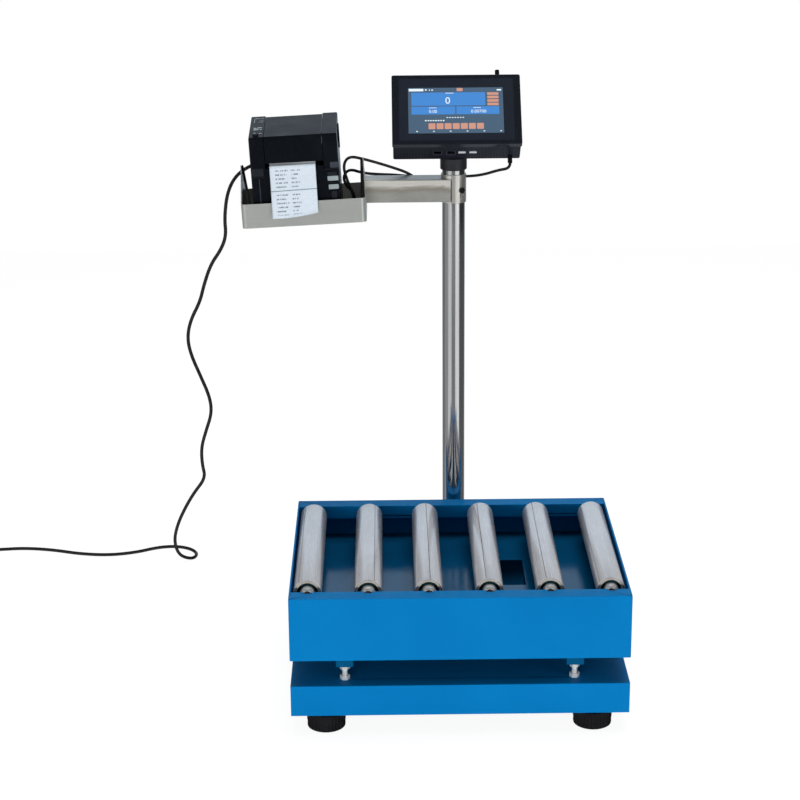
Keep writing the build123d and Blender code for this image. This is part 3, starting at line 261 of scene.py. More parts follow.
def printed_paper(name):
    """Thermal label paper: pale bluish stock with rows of small grey marks and a gap line.

    The marks come from the strip's own map: across it is 0 to 1, along it 0 to 1.
    """
    f = Finish(name, srgb(214, 226, 238), 0.55)
    split = f.node("ShaderNodeSeparateXYZ", None, {0: f.place(source="UV")})
    across, along = split.outputs[0], split.outputs[1]
    lines_in_all, gap_middle = 15.3, 0.557

    def times(a, b):
        return f.math("MULTIPLY", a, b)

    def between(value, low, high):
        return times(f.math("GREATER_THAN", value, low), f.math("LESS_THAN", value, high))

    line = times(along, lines_in_all)
    row = f.math("FLOOR", line)
    in_row = between(f.math("FRACT", line), 0.34, 0.7)
    stroke_at = f.node("ShaderNodeCombineXYZ", None, {0: times(across, 34.0), 1: times(row, 7.3)})
    strokes = f.noise(stroke_at.outputs[0], 1.9, 0.0)
    word = times(f.math("GREATER_THAN", strokes, 0.42), in_row)
    ragged = times(f.math("FRACT", times(row, 0.618)), 0.1)
    first = between(across, 0.115, f.math("ADD", ragged, 0.31))
    second = between(across, 0.46, f.math("ADD", ragged, 0.57))
    margin = between(along, 0.197, 0.95)
    leaning = f.math("SUBTRACT", along, times(across, -0.012))
    from_gap = f.math("ABSOLUTE", f.math("SUBTRACT", leaning, gap_middle))
    gap, cut = f.math("LESS_THAN", from_gap, 0.03), f.math("LESS_THAN", from_gap, 0.0075)
    mark = times(times(word, f.math("MAXIMUM", first, second)), margin)
    mark = times(mark, f.math("SUBTRACT", 1.0, gap))
    fibre = f.noise(f.place(), 500.0, 3.0)
    paper = f.mix(f.remap(fibre, 0.3, 0.7), srgb(204, 216, 228), srgb(220, 230, 240))
    inked = f.mix(times(mark, 0.72), paper, srgb(60, 68, 82))
    f.color(f.mix(times(cut, 0.75), inked, srgb(70, 98, 104)))
    f.bump(fibre, 0.1, 0.0001)
    return f.material


def plain_paper(name):
    """The label roll's paper: pale bluish stock with a fine fibre."""
    f = Finish(name, srgb(222, 230, 240), 0.6)
    fibre = f.noise(f.place(), 400.0, 4.0)
    f.color(f.mix(f.remap(fibre, 0.3, 0.7), srgb(205, 216, 228), srgb(226, 234, 242)))
    f.bump(fibre, 0.2, 0.0002)
    return f.material


FINISHES = {
    "blue enamel": lambda n: coated(n, srgb(0, 113, 178), srgb(0, 118, 184), roughness=0.42, specular=0.17),
    # A darker copy of the blue enamel: painted shade for the frame parts under the platform.
    "shaded enamel": lambda n: coated(n, srgb(0, 74, 114), srgb(0, 80, 122), roughness=0.45, specular=0.15),
    # The deck plate's glossier enamel, darker than the blue enamel: a painted shade under the rollers.
    "deck enamel": lambda n: coated(
        n, srgb(5, 74, 114), srgb(7, 82, 124), roughness=0.1, specular=0.5, ior=1.36, peel_depth=0.00016,
        sheen=BLUE_SHEEN),
    "brushed steel": lambda n: brushed(
        n, srgb(186, 190, 186), srgb(200, 203, 199), roughness=0.34, stretch=(3000, 3000, 60)),
    # The arm's steel carries a painted highlight along its upper front.
    "arm steel": lambda n: brushed(
        n, srgb(170, 170, 166), srgb(186, 186, 181), roughness=0.32, stretch=(60, 3000, 3000),
        tint=arm_painted_highlight),
    "sleeve steel": lambda n: polished(
        n, srgb(206, 205, 199), srgb(224, 223, 216), roughness=0.27, stretch=(900, 900, 12), metallic=0.8),
    "roller steel": lambda n: brushed(
        n, srgb(214, 214, 218), srgb(224, 224, 228), roughness=0.2, stretch=(2600, 16, 2600), metallic=0.5,
        relief=0.015),
    "rim steel": lambda n: polished(n, srgb(206, 198, 182), srgb(228, 220, 204), roughness=0.3, metallic=0.4),
    "column steel": lambda n: polished(
        n, srgb(196, 198, 200), srgb(216, 218, 220), roughness=0.07, stretch=(1200, 1200, 6)),
    "dark steel": lambda n: polished(n, srgb(26, 26, 29), srgb(40, 40, 44), roughness=0.36, metallic=0.5),
    "hub steel": plated,
    "cast aluminium": lambda n: brushed(
        n, srgb(160, 162, 166), srgb(200, 202, 205), roughness=0.4, stretch=(500, 500, 500)),
    "black plastic": lambda n: moulded(n, srgb(17, 17, 20), srgb(28, 29, 33), roughness=0.45),
    "collar black": lambda n: moulded(
        n, srgb(36, 37, 42), srgb(46, 47, 53), roughness=0.42, grain_scale=1500.0, ior=1.4),
    "cap plastic": lambda n: moulded(
        n, srgb(14, 40, 46), srgb(24, 54, 60), roughness=0.3, grain_scale=900.0, ior=1.4),
    "printer slate": lambda n: moulded(
        n, srgb(12, 14, 18), srgb(19, 21, 26), roughness=0.3, grain_scale=1700.0, sheen=BLUE_SHEEN),
    "indicator slate": lambda n: moulded(
        n, srgb(22, 25, 32), srgb(30, 33, 42), roughness=0.42, grain_scale=1700.0),
    "bezel black": lambda n: glossy(n, srgb(22, 25, 32), roughness=0.14),
    "screen glass": lambda n: glossy(n, srgb(31, 36, 45), roughness=0.05),
    "rubber": lambda n: moulded(n, srgb(20, 20, 21), srgb(34, 34, 36), roughness=0.6),
    "lead sheath": sheath,
    "label paper": printed_paper,
    "paper roll": plain_paper,
    "display slate": lambda n: lit(n, srgb(74, 98, 121)),
    "display blue": lambda n: lit(n, srgb(68, 136, 210)),
    "display orange": lambda n: lit(n, srgb(206, 150, 130)),
    "display white": lambda n: lit(n, srgb(232, 244, 252)),
    "pale patch": lambda n: moulded(n, srgb(150, 162, 166), srgb(176, 186, 190), roughness=0.5),
    "grey patch": lambda n: moulded(n, srgb(58, 62, 72), srgb(74, 78, 88)),
    "dim patch": lambda n: moulded(n, srgb(33, 36, 42), srgb(44, 47, 55)),
    "port white": lambda n: moulded(n, srgb(196, 200, 208), srgb(214, 218, 224)),
}


def finish(name):
    """The finish of that name, made the first time it is asked for."""
    made = bpy.data.materials.get(name)
    return made or FINISHES[name](name)


NODE_FINISHES = {
    "blue enamel": "base_pan front_rail rear_rail left_panel right_panel column_socket",
    # The cross member and deck frame take the darker enamel, a painted shade.
    "shaded enamel": "cross_member deck_frame",
    "deck enamel": "deck_plate",
    "hub steel": "foot_plates hex_bolts hex_nuts",
    "dark steel": "bracket_screws",
    "cast aluminium": "load_cell print_head",
    "column steel": "column_tube",
    "brushed steel": "printer_tray",
    "sleeve steel": "bracket_sleeve",
    "arm steel": "bracket_arm",
    "collar black": "swivel_collar",
    "printer slate": "printer_base printer_cheeks printer_cover cover_latch",
    "indicator slate": "indicator_case",
    "bezel black": "indicator_bezel",
    "screen glass": "touch_screen",
    "black plastic": "aerial data_plug lead_plug mains_plug lead_adapter feed_button",
    "rubber": "printer_feet platen_roller",
    "paper roll": "label_roll",
    "lead sheath": "cell_lead",
}

# Solids that stay in view, by how far their edges are rounded, in millimetres
ROUNDINGS = {
    1.5: "deck_frame",
    1.2: "base_pan front_rail rear_rail column_socket",
    1.0: "printer_base indicator_case lead_adapter",
    0.8: "left_panel right_panel printer_cheeks printer_cover lead_plug mains_plug load_cell",
    0.7: "cover_latch",
    0.6: "aerial feed_button",
    0.5: "bracket_arm bracket_sleeve bracket_screws printer_tray indicator_bezel swivel_collar",
    0.4: "deck_plate",
    0.35: "hex_bolts hex_nuts",
}


def repaint(obj, material):
    if obj.material_slots:
        for slot in obj.material_slots:
            slot.material = material
    else:
        obj.data.materials.append(material)


def soften(obj, width):
    """Joins a solid's loose triangles, rounds its sharp edges and evens its shading."""
    obj.data.polygons.foreach_set("use_smooth", [True] * len(obj.data.polygons))
    weld = obj.modifiers.new("Join", "WELD")
    weld.merge_threshold = 1e-5
    if width:
        bevel = obj.modifiers.new("Edges", "BEVEL")
        bevel.width = width * MM
        bevel.segments = 2
        bevel.limit_method = "ANGLE"
        bevel.angle_limit = math.radians(42)
        bevel.use_clamp_overlap = True
    even = obj.modifiers.new("Shading", "WEIGHTED_NORMAL")
    even.keep_sharp = False


def placed(name, data):
    """A new object of that data in the scene."""
    obj = bpy.data.objects.new(name, data)
    bpy.context.scene.collection.objects.link(obj)
    return obj


def positions(mesh):
    """A mesh's points, one row each."""
    flat = np.empty(len(mesh.vertices) * 3, np.float32)
    mesh.vertices.foreach_get("co", flat)
    return flat.reshape(-1, 3).astype(float)


def mesh_object(name, grids, body, finish_name, around=True, smooth_angle=35.0):
    """One mesh from point grids of rows by columns, in metres.

    Each grid is a surface of two parameters. With around, the columns close on themselves, and
    the first and last rows are closed by fans to their middles.
    """
    vertices, faces, start = [], [], 0
    for grid in grids:
        rows, columns = grid.shape[:2]
        if around:
            low = np.repeat(grid[:1].mean(axis=1, keepdims=True), columns, axis=1)
            high = np.repeat(grid[-1:].mean(axis=1, keepdims=True), columns, axis=1)
            grid = np.concatenate([low, grid, high])
            rows += 2
        index = np.arange(rows * columns).reshape(rows, columns) + start
        if around:
            index = np.concatenate([index, index[:, :1]], axis=1)
        quads = np.stack([index[:-1, :-1], index[1:, :-1], index[1:, 1:], index[:-1, 1:]], axis=-1)
        faces.append(quads.reshape(-1, 4))
        vertices.append(grid.reshape(-1, 3))
        start += rows * columns
    mesh = bpy.data.meshes.new(name)
    mesh.from_pydata(np.concatenate(vertices).tolist(), [], np.concatenate(faces).tolist())
    shape = bmesh.new()
    shape.from_mesh(mesh)
    bmesh.ops.remove_doubles(shape, verts=shape.verts, dist=1e-7)
    bmesh.ops.dissolve_degenerate(shape, edges=shape.edges, dist=1e-8)
    bmesh.ops.recalc_face_normals(shape, faces=shape.faces)
    shape.to_mesh(mesh)
    shape.free()
    mesh.shade_smooth()
    mesh.set_sharp_from_angle(angle=math.radians(smooth_angle))
    mesh.materials.append(finish(finish_name))
    obj = placed(name, mesh)
    if body:
        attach(obj, body)
    return obj


def axes_round(axis):
    """An axis made one long, and two directions square to it."""
    axis = np.array(axis, float) / np.linalg.norm(axis)
    side = np.cross(axis, (0, 0, 1)) if abs(axis[2]) < 0.9 else np.array((1.0, 0.0, 0.0))
    side = side / np.linalg.norm(side)
    return axis, side, np.cross(axis, side)


def turned(profile, at, axis, ring=64, ridges=0, depth=0.0, ridge_rows=()):
    """A turned form: each profile point (radius, distance along the axis) carried round the axis.

    With ridges, the radius of the chosen rows dips by depth that many times round.
    """
    axis, side, other = axes_round(axis)
    angle = np.linspace(0, 2 * np.pi, ring, endpoint=False)
    radius, along = np.array(profile, float).T
    r = np.repeat(radius[:, None], ring, axis=1)
    if ridges:
        rows = np.zeros(len(radius))
        rows[list(ridge_rows)] = 1
        r = r - depth * rows[:, None] * (0.5 + 0.5 * np.cos(ridges * angle))[None, :]
    points = r[..., None] * (np.cos(angle)[:, None] * side + np.sin(angle)[:, None] * other)
    points = points + along[:, None, None] * axis + np.array(at, float)
    return points * MM


def ring_form(profile, at, axis, ring=64):
    """A turned ring: a closed profile carried round the axis, with no caps."""
    grid = turned(list(profile) + [profile[0]], at, axis, ring)
    return np.concatenate([grid, grid[:, :1]], axis=1)


def tray_place(x, y, z):
    """Tray axes to row axes: x along the sagging tray, y back, z away from its floor."""
    c, s = math.cos(TRAY_SAG), math.sin(TRAY_SAG)
    x, y, z = np.broadcast_arrays(*(np.asarray(v, float) for v in (x, y, z)))
    return np.stack([TRAY_AT[0] + x * c - z * s, TRAY_AT[1] + y, TRAY_AT[2] + x * s + z * c], axis=-1) * MM


def screen_place(x, up, out):
    """Indicator axes to row axes: x right, up the screen, out of the screen."""
    c, s = math.cos(TILT), math.sin(TILT)
    x, up, out = np.broadcast_arrays(*(np.asarray(v, float) for v in (x, up, out)))
    x, y, z = INDICATOR_AT[0] + x, INDICATOR_AT[1] + up * s - out * c, INDICATOR_AT[2] + up * c + out * s
    return np.stack([x, y, z], axis=-1) * MM


def tile(place, centre, size, levels, corner=10.0, steps=32):
    """A thin tile with softened corners: a superellipse outline repeated at each level.

    place turns (across, up, level) into row axes; corner is the superellipse's power.
    """
    angle = np.linspace(0, 2 * np.pi, steps, endpoint=False) + np.pi / steps
    c, s = np.cos(angle), np.sin(angle)
    across = centre[0] + size[0] / 2 * np.sign(c) * np.abs(c) ** (2 / corner)
    up = centre[1] + size[1] / 2 * np.sign(s) * np.abs(s) ** (2 / corner)
    level = np.array(levels, float)[:, None]
    return place(across[None, :], up[None, :], level)


POWER_ROUTE = [
    (-270.77, 332.0, 745.28), (-270.77, 360.0, 745.28), (-286, 384, 748), (-316, 394, 741),
    (-346.6, 387, 725), (-363, 378, 697), (-368.5, 368, 655), (-366, 361, 627), (-375, 357, 604),
    (-393, 359, 579), (-406, 362, 543), (-414, 366, 513), (-431.5, 371, 480), (-439, 377, 448),
    (-435, 384, 416), (-420, 392, 373), (-407, 400, 334), (-405.5, 407, 303), (-417, 415, 269),
    (-427.5, 423, 235), (-428, 432, 200), (-423.5, 438, 173), (-446, 446, 142), (-464, 453, 110),
    (-479, 458, 77), (-487, 463, 44), (-480, 470, 13), (-457, 477, 2.9), (-449, 501, 2.9),
    (-464, 527, 2.9), (-494, 540, 2.9), (-527, 534, 2.9), (-562, 512, 2.9), (-610, 500, 2.9),
    (-665, 508, 2.9), (-715, 528, 2.9), (-770, 538, 2.9), (-815, 532, 2.9), (-852, 532, 2.9),
]
INDICATOR_ROUTE = [
    (91.0, 195.37, 777.82), (91.0, 188.81, 770.28), (72, 190, 767), (54, 212, 756.5), (34, 238, 748),
    (14, 258, 744), (14, 258, 728),
]
DATA_ROUTE = [
    (14, 258, 706), (-16, 258, 706), (-44, 257, 728), (-60, 253, 749), (-98, 246, 764), (-135, 237, 777),
    (-160, 229, 784), (-169, 227, 768), (-161, 226, 742), (-152.56, 226, 723.53), (-151.83, 226, 708.55),
]
NETWORK_ROUTE = [
    (-30, 255, 738), (-30, 274, 738), (-58, 273, 741), (-88, 271, 744.5), (-114, 269, 746),
    (-138, 267.5, 748.5), (-160, 262, 757), (-170, 260, 744), (-164, 258, 730), (-152.42, 257, 720.54),
    (-151.83, 257, 708.55),
]
POWER_D = 5.8
DATA_D = 4.5
NETWORK_D = 4.6


def coil_turns():
    """Four flat turns: two on the floor, outer then inner, and two on top of them."""
    turn = np.linspace(0, 4, 4 * 14 + 1)
    angle = np.pi / 2 + 2 * np.pi * turn
    outer, inner, low, high = 34.9, 29.1, 2.9, 8.7
    radius = np.interp(turn, (0, 0.8, 1.1, 2.9, 3.2, 4), (outer, outer, inner, inner, outer, outer))
    height = np.interp(turn, (0, 1.85, 2.15, 4), (low, low, high, high))
    x, y = COIL_AT[0] + radius * np.cos(angle), COIL_AT[1] + radius * np.sin(angle)
    return list(zip(x.tolist(), y.tolist(), height.tolist()))


def spline(name, points, depth):
    """A NURBS lead whose control points are the route's points."""
    curve = bpy.data.curves.new(name, "CURVE")
    curve.dimensions = "3D"
    curve.bevel_depth = depth
    curve.bevel_resolution = 5
    curve.resolution_u = 8
    curve.use_fill_caps = bool(depth)
    line = curve.splines.new("NURBS")
    line.points.add(len(points) - 1)
    for control, point in zip(line.points, points):
        control.co = (*(v * MM for v in point), 1.0)
    line.order_u = 3
    line.use_endpoint_u = True
    return placed(name, curve)


def line_points(obj):
    """The points along a bare spline, in metres."""
    depsgraph = bpy.context.evaluated_depsgraph_get()
    mesh = bpy.data.meshes.new_from_object(obj.evaluated_get(depsgraph))
    points = positions(mesh)
    bpy.data.meshes.remove(mesh)
    return points


def tube_grid(path, radius, ring=14):
    """Circles carried along a path, each turned from the last by the least twist."""
    tangent = np.gradient(path, axis=0)
    tangent /= np.linalg.norm(tangent, axis=1, keepdims=True)
    side = np.cross(tangent[0], (0.0, 0.0, 1.0))
    if np.linalg.norm(side) < 1e-3:
        side = np.array((1.0, 0.0, 0.0))
    sides = []
    for t in tangent:
        side = side - t * side.dot(t)
        side = side / np.linalg.norm(side)
        sides.append(side)
    sides = np.array(sides)
    others = np.cross(tangent, sides)
    angle = np.linspace(0, 2 * np.pi, ring, endpoint=False)
    wheel = np.cos(angle)[None, :, None] * sides[:, None] + np.sin(angle)[None, :, None] * others[:, None]
    return path[:, None] + radius * wheel


def make_power_lead():
    route = POWER_ROUTE + coil_turns() + [(COIL_AT[0] - 28, COIL_AT[1] + 34.9, 8.7)]
    lead = spline("power_cord", route, POWER_D / 2 * MM)
    lead.data.materials.append(finish("lead sheath"))
    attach(lead, "frame")
    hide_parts("power_lead", "lead_coil")
    exit_at = tuple(v * MM for v in POWER_ROUTE[0])


def make_network_lead():
    lead = spline("network_cord", NETWORK_ROUTE, NETWORK_D / 2 * MM)
    lead.data.materials.append(finish("lead sheath"))
    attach(lead, "frame")
    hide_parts("network_lead")
    exit_at = tuple(v * MM for v in NETWORK_ROUTE[0])


def make_data_lead():
    """One lead from the indicator to the adapter."""
    guide = spline("data_guide", INDICATOR_ROUTE + DATA_ROUTE, 0.0)
    path = line_points(guide)
    bpy.data.objects.remove(guide)
    lead = mesh_object("data_cord", [tube_grid(path, DATA_D / 2 * MM)], None, "lead sheath")
    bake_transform(lead)
    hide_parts("data_lead", "indicator_lead")
    exit_at = tuple(v * MM for v in INDICATOR_ROUTE[0])


def make_rollers(tube_radius, wall):
    """Each roller: a rolled tube with eased ends and a weld seam along it, and at each end a bright
    ring and a grooved bearing cap."""
    half, inner = ROLLER_HALF, tube_radius - wall
    seam_depth, seam_radius = 0.45, 0.6
    tube = [
        (inner + 0.3, -half), (tube_radius - 0.7, -half), (tube_radius - 0.2, -half + 0.35),
        (tube_radius, -half + 1.0), (tube_radius, half - 1.0), (tube_radius - 0.2, half - 0.35),
        (tube_radius - 0.7, half), (inner + 0.3, half), (inner, half - 0.4), (inner, -half + 0.4),
    ]
    ring = [
        (inner - 0.6, 149.0), (inner - 0.6, 153.0), (inner - 1.0, 153.8), (inner - 2.2, 154.2),
        (inner - 3.4, 153.8), (inner - 4.0, 152.8), (inner - 4.1, 149.0),
    ]
    cap = [
        (inner - 4.2, 142.5), (inner - 4.2, 147.0), (inner - 4.6, 147.2), (14.6, 149.8), (14.2, 150.4),
        (12.9, 150.5), (12.5, 149.8), (9.2, 149.8), (8.1, 149.9), (8.1, 142.5),
    ]
    along = np.linspace(-154.0, 154.0, 12)
    for number, (x, turn) in enumerate(zip(ROLLER_XS, SEAM_TURNS), 1):
        body = "roller_%d" % number
        at = (x, 0, ROLLER_Z)
        reach = tube_radius - seam_depth
        seam_x = x + reach * math.sin(math.radians(turn))
        seam_z = ROLLER_Z + reach * math.cos(math.radians(turn))
        path = np.stack([np.full(12, seam_x), along, np.full(12, seam_z)], axis=-1) * MM
        mesh_object("roller_seam_%d" % number, [tube_grid(path, seam_radius * MM, 10)], body, "dark steel")
        shell = mesh_object("roller_shell_%d" % number, [ring_form(tube, at, (0, 1, 0), 96)], body,
                            "roller steel", around=False)
        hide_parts("roller_tube_%d" % number)
        for name, form, finish_name in (("rings", ring, "rim steel"), ("ends", cap, "cap plastic")):
            back = [(r, -y) for r, y in form]
            grids = [ring_form(form, at, (0, 1, 0), 64), ring_form(back, at, (0, 1, 0), 64)]
            made = mesh_object("roller_%s_%d" % (name, number), grids, body, finish_name, around=False)
            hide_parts("roller_caps_%d" % number)


def make_axles():
    """The axles: a bright domed hub at each end of a plain bar, and the bar's dark ends."""
    dome = [
        (5.9, 150.8), (10.6, 150.8), (11.0, 151.4), (11.0, 152.6), (10.7, 154.6), (10.1, 156.8),
        (9.2, 158.8), (8.1, 160.4), (6.9, 161.4), (5.9, 161.7),
    ]
    end = [(5.9, 161.0), (5.9, 176.9), (5.4, 177.6), (4.6, 178.0)]
    bar = [(5.9, -150.0), (5.9, 150.0)]
    forms = (
        ("axle_hubs", "hub steel", dome, (1, -1), 48),
        ("axle_ends", "dark steel", end, (1, -1), 32),
        ("axle_bars", "cast aluminium", bar, (1,), 24),
    )
    for name, finish_name, form, ways, ring in forms:
        grids = [turned(form, (x, 0, ROLLER_Z), (0, way, 0), ring) for x in ROLLER_XS for way in ways]
        made = mesh_object(name, grids, "frame", finish_name)
        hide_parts("roller_axles")


def make_feet(ridges):
    """Each foot: a pad with a ribbed rim and eased bottom, a hexagon neck and a threaded stud.

    The stud's radius falls and rises in a straight line once in each turn of its thread.
    """
    rib_depth, ribbed_rows = 1.5, (3, 4, 5, 6)
    stud_radius, thread_depth, pitch = 5.9, 0.5, 1.75
    pad = [
        (22.0, 0.0), (27.0, 0.0), (28.2, 0.8), (28.6, 2.4), (28.4, 7.0), (28.4, 9.5), (29.0, 10.5),
        (29.0, 25.2), (28.4, 26.4), (27.2, 27.0), (12.0, 27.0),
    ]
    for number, (x, y) in enumerate(FOOT_AT, 1):
        body = "foot_%d" % number
        ribbed = turned(pad, (x, y, 0), (0, 0, 1), ring=ridges * 6, ridges=ridges, depth=rib_depth,
                        ridge_rows=ribbed_rows)
        z = np.arange(31.0, 54.9, 0.25)
        thread = [(stud_radius - thread_depth * abs(((v / pitch) % 1.0) * 2 - 1), v) for v in z]
        foot = mesh_object("foot_pad_%d" % number, [ribbed], body, "black plastic", smooth_angle=28)
        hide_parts("foot_%d" % number)
        stud_grids = [turned(thread, (x, y, 0), (0, 0, 1), 32), hexagon((x, y, 27.0), (0, 0, 1), 11.0, 4.0)]
        mesh_object("foot_stud_%d" % number, stud_grids, body, "hub steel", smooth_angle=50)


def hexagon(at, axis, flat, height):
    """A hexagon head: distance to the flats over the cosine of the angle from each flat's middle,
    cut back to a cone at the top."""
    axis, side, other = axes_round(axis)
    angle = np.linspace(0, 2 * np.pi, 72, endpoint=False)
    reach = flat / np.cos((angle + np.pi / 6) % (np.pi / 3) - np.pi / 6)
    level = np.array((0.0, 0.25, height - 0.9, height - 0.3, height))
    cone = np.array((flat * 2, flat * 2, flat * 1.16, flat * 1.05, flat * 0.97))
    r = np.minimum(reach[None, :], cone[:, None])
    wheel = np.cos(angle)[:, None] * side + np.sin(angle)[:, None] * other
    points = r[..., None] * wheel[None] + level[:, None, None] * axis + np.array(at, float)
    return points * MM


# The label strip's left edge along the tray, and its width
LABEL_LEFT, LABEL_W = -144.5, 71.0


def make_label():
    """The printed strip: a path in the tray's y and z carried across the paper's width.

    The last stretch curls forward, more at its right corner.
    """
    path = np.array([
        (-38, 94.4), (-47, 94.4), (-51.5, 94.1), (-54.2, 91.5), (-55.6, 85), (-56.5, 75), (-57.6, 62),
        (-59.2, 50), (-61.8, 41), (-63.4, 36), (-64.2, 30), (-65.2, 24), (-67.2, 19), (-70.2, 15.5),
    ], float)
    steps = np.concatenate([[0], np.cumsum(np.linalg.norm(np.diff(path, axis=0), axis=1))])
    v = np.linspace(0, 1, 90)
    u = np.linspace(0, 1, 28)
    y = np.interp(v * steps[-1], steps, path[:, 0])
    z = np.interp(v * steps[-1], steps, path[:, 1])
    kernel = np.ones(7) / 7
    y[3:-3], z[3:-3] = np.convolve(y, kernel, "valid"), np.convolve(z, kernel, "valid")
    lift = np.clip((v[:, None] - 0.72) / 0.28, 0, 1) ** 2 * np.clip((u[None, :] - 0.25) / 0.75, 0, 1) ** 1.6
    x = LABEL_LEFT + LABEL_W * u
    points = tray_place(x[None, :] + 0 * lift, y[:, None] - 5.0 * lift, z[:, None] + 7.5 * lift)
    label = mesh_object("label_paper", [points], None, "label paper", around=False)
    layer = label.data.uv_layers.new(name="print")
    where = positions(label.data)
    index = np.linalg.norm(points.reshape(-1, 1, 3) - where[None, :, :], axis=2).argmin(axis=0)
    uv = np.stack([u[index % len(u)], v[index // len(u)]], axis=-1)
    corner = np.empty(len(label.data.loops), np.int32)
    label.data.loops.foreach_get("vertex_index", corner)
    layer.data.foreach_set("uv", uv[corner].ravel().astype(np.float32))
    thick = label.modifiers.new("Thickness", "SOLIDIFY")
    thick.thickness = 0.0003
    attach(label, "frame")
    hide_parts("label_strip")


# The picture on the screen is laid out 150 wide and 86 high, then fitted to the lit area
LAYOUT_W, LAYOUT_H = 150.0, 86.0
LIT_W, LIT_H = 147.0, 81.0
ACROSS, DOWN = LIT_W / LAYOUT_W, LIT_H / LAYOUT_H
LIT_LEFT, LIT_TOP = -74.5, 100.5
# How far the figures stand out
FIGURES_OUT = GLASS_OUT + 0.16


def ui_tile(left, top, right, bottom, level=0.1, corner=12.0):
    """A display patch from its edges, measured from the screen's upper left corner."""
    centre = (LIT_LEFT + (left + right) / 2 * ACROSS, LIT_TOP - (top + bottom) / 2 * DOWN)
    size = ((right - left) * ACROSS, (bottom - top) * DOWN)
    return tile(screen_place, centre, size, (GLASS_OUT, GLASS_OUT + level), corner)


def ui_row(count, step, left, top, right, bottom, level=0.1):
    """Equal display patches side by side, from the first one's edges and their spacing."""
    return [ui_tile(left + step * i, top, right + step * i, bottom, level) for i in range(count)]


def digits(name, text, size, left, top, level):
    """Plain numerals set on the screen, made a mesh."""
    curve = bpy.data.curves.new(name, "FONT")
    curve.body = text
    curve.size = size * MM
    curve.extrude = 0.00004
    source = placed(name, curve)
    bpy.context.view_layer.update()
    depsgraph = bpy.context.evaluated_depsgraph_get()
    mesh = bpy.data.meshes.new_from_object(source.evaluated_get(depsgraph))
    flat = positions(mesh) / MM
    flat[:, 0] -= (flat[:, 0].min() + flat[:, 0].max()) / 2
    flat[:, 1] -= (flat[:, 1].min() + flat[:, 1].max()) / 2
    across, up = LIT_LEFT + left * ACROSS, LIT_TOP - top * DOWN
    points = screen_place(flat[:, 0] + across, flat[:, 1] + up, flat[:, 2] + level)
    mesh.vertices.foreach_set("co", points.ravel())
    mesh.update()
    bpy.data.objects.remove(source)
    obj = placed(name, mesh)
    mesh.materials.clear()
    mesh.materials.append(finish("display white"))
    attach(obj, "indicator")


def make_display():
    """The lit display: a slate ground, blue panels, orange keys and white figures."""
    ground = ui_tile(0, 0, LAYOUT_W, LAYOUT_H, 0.06, 300.0)
    mesh_object("display_ground", [ground], "indicator", "display slate")
    panels = [ui_tile(5, 9, 122, 34, 0.1, 40.0), ui_tile(5, 35.7, 74.2, 50.6, 0.1, 40.0),
              ui_tile(75.8, 35.7, 143.6, 50.6, 0.1, 40.0)]
    mesh_object("display_panels", panels, "indicator", "display blue")
    keys = [ui_tile(125, top, 143, top + 5.0) for top in (9.4, 16.0, 22.6, 29.2)]
    keys += ui_row(7, 12.7, 31.4, 67.3, 42.2, 78.4)
    keys.append(ui_tile(77, 0.8, 86.5, 6.8))
    mesh_object("display_keys", keys, "indicator", "display orange")
    marks = [ui_tile(1.2, 1.7, 24.4, 6.4), ui_tile(26.8, 2.6, 29.6, 5.2), ui_tile(33, 3.2, 35, 5.2),
             ui_tile(37, 3.2, 39.6, 5.2), ui_tile(140.4, 3.4, 147.4, 6.2)]
    marks += ui_row(5, 2.6, 59.5, 9.6, 61.4, 11.0, 0.13)
    marks += ui_row(5, 2.4, 33, 37.6, 34.8, 38.9, 0.13)
    marks += ui_row(5, 2.4, 103, 37.6, 104.8, 38.9, 0.13)
    marks += ui_row(7, 4.2, 60, 55.8, 62.4, 57.4)
    marks += ui_row(8, 4.0, 26, 61.2, 28.6, 63.2)
    marks += ui_row(6, 26.4, 12, 81.6, 14.6, 83.2)
    mesh_object("display_marks", marks, "indicator", "display white")
    digits("display_weight", "0", 16.5, 62.5, 24.4, FIGURES_OUT)
    digits("display_tare", "0.00", 7.4, 39.0, 45.0, FIGURES_OUT)
    digits("display_total", "0.00700", 7.4, 111.0, 45.0, FIGURES_OUT)


def make_ports():
    """Rims and bright blanks at the sockets in the indicator's underside, and ribs along it."""
    underside = 1.5

    def under(across, up, level):
        return screen_place(across, underside - level, up)

    dark, bright = [], []
    for x in (-30.0, -9.0):
        for side in (-1, 1):
            dark.append(tile(under, (x, PORTS_OUT + side * 5.6), (14.0, 0.8), (0.0, 0.4), 8.0))
            dark.append(tile(under, (x + side * 6.6, PORTS_OUT), (0.8, 11.0), (0.0, 0.4), 8.0))
    for x in (8.0, 25.0):
        bright.append(tile(under, (x, PORTS_OUT), (11.4, 3.4), (-1.5, 0.3), 6.0))
    mesh_object("port_rims", dark, "indicator", "grey patch")
    mesh_object("port_blanks", bright, "indicator", "port white")
    ribs = []
    for x in np.arange(-93.0, 94.0, 4.65):
        near, far = (27.0, 36.0) if -42 < x < 36 else (2.0, 36.0)
        ribs.append(tile(under, (x, (near + far) / 2), (1.2, far - near), (0.0, 0.35), 8.0, 16))
    mesh_object("case_ribs", ribs, "indicator", "dim patch")


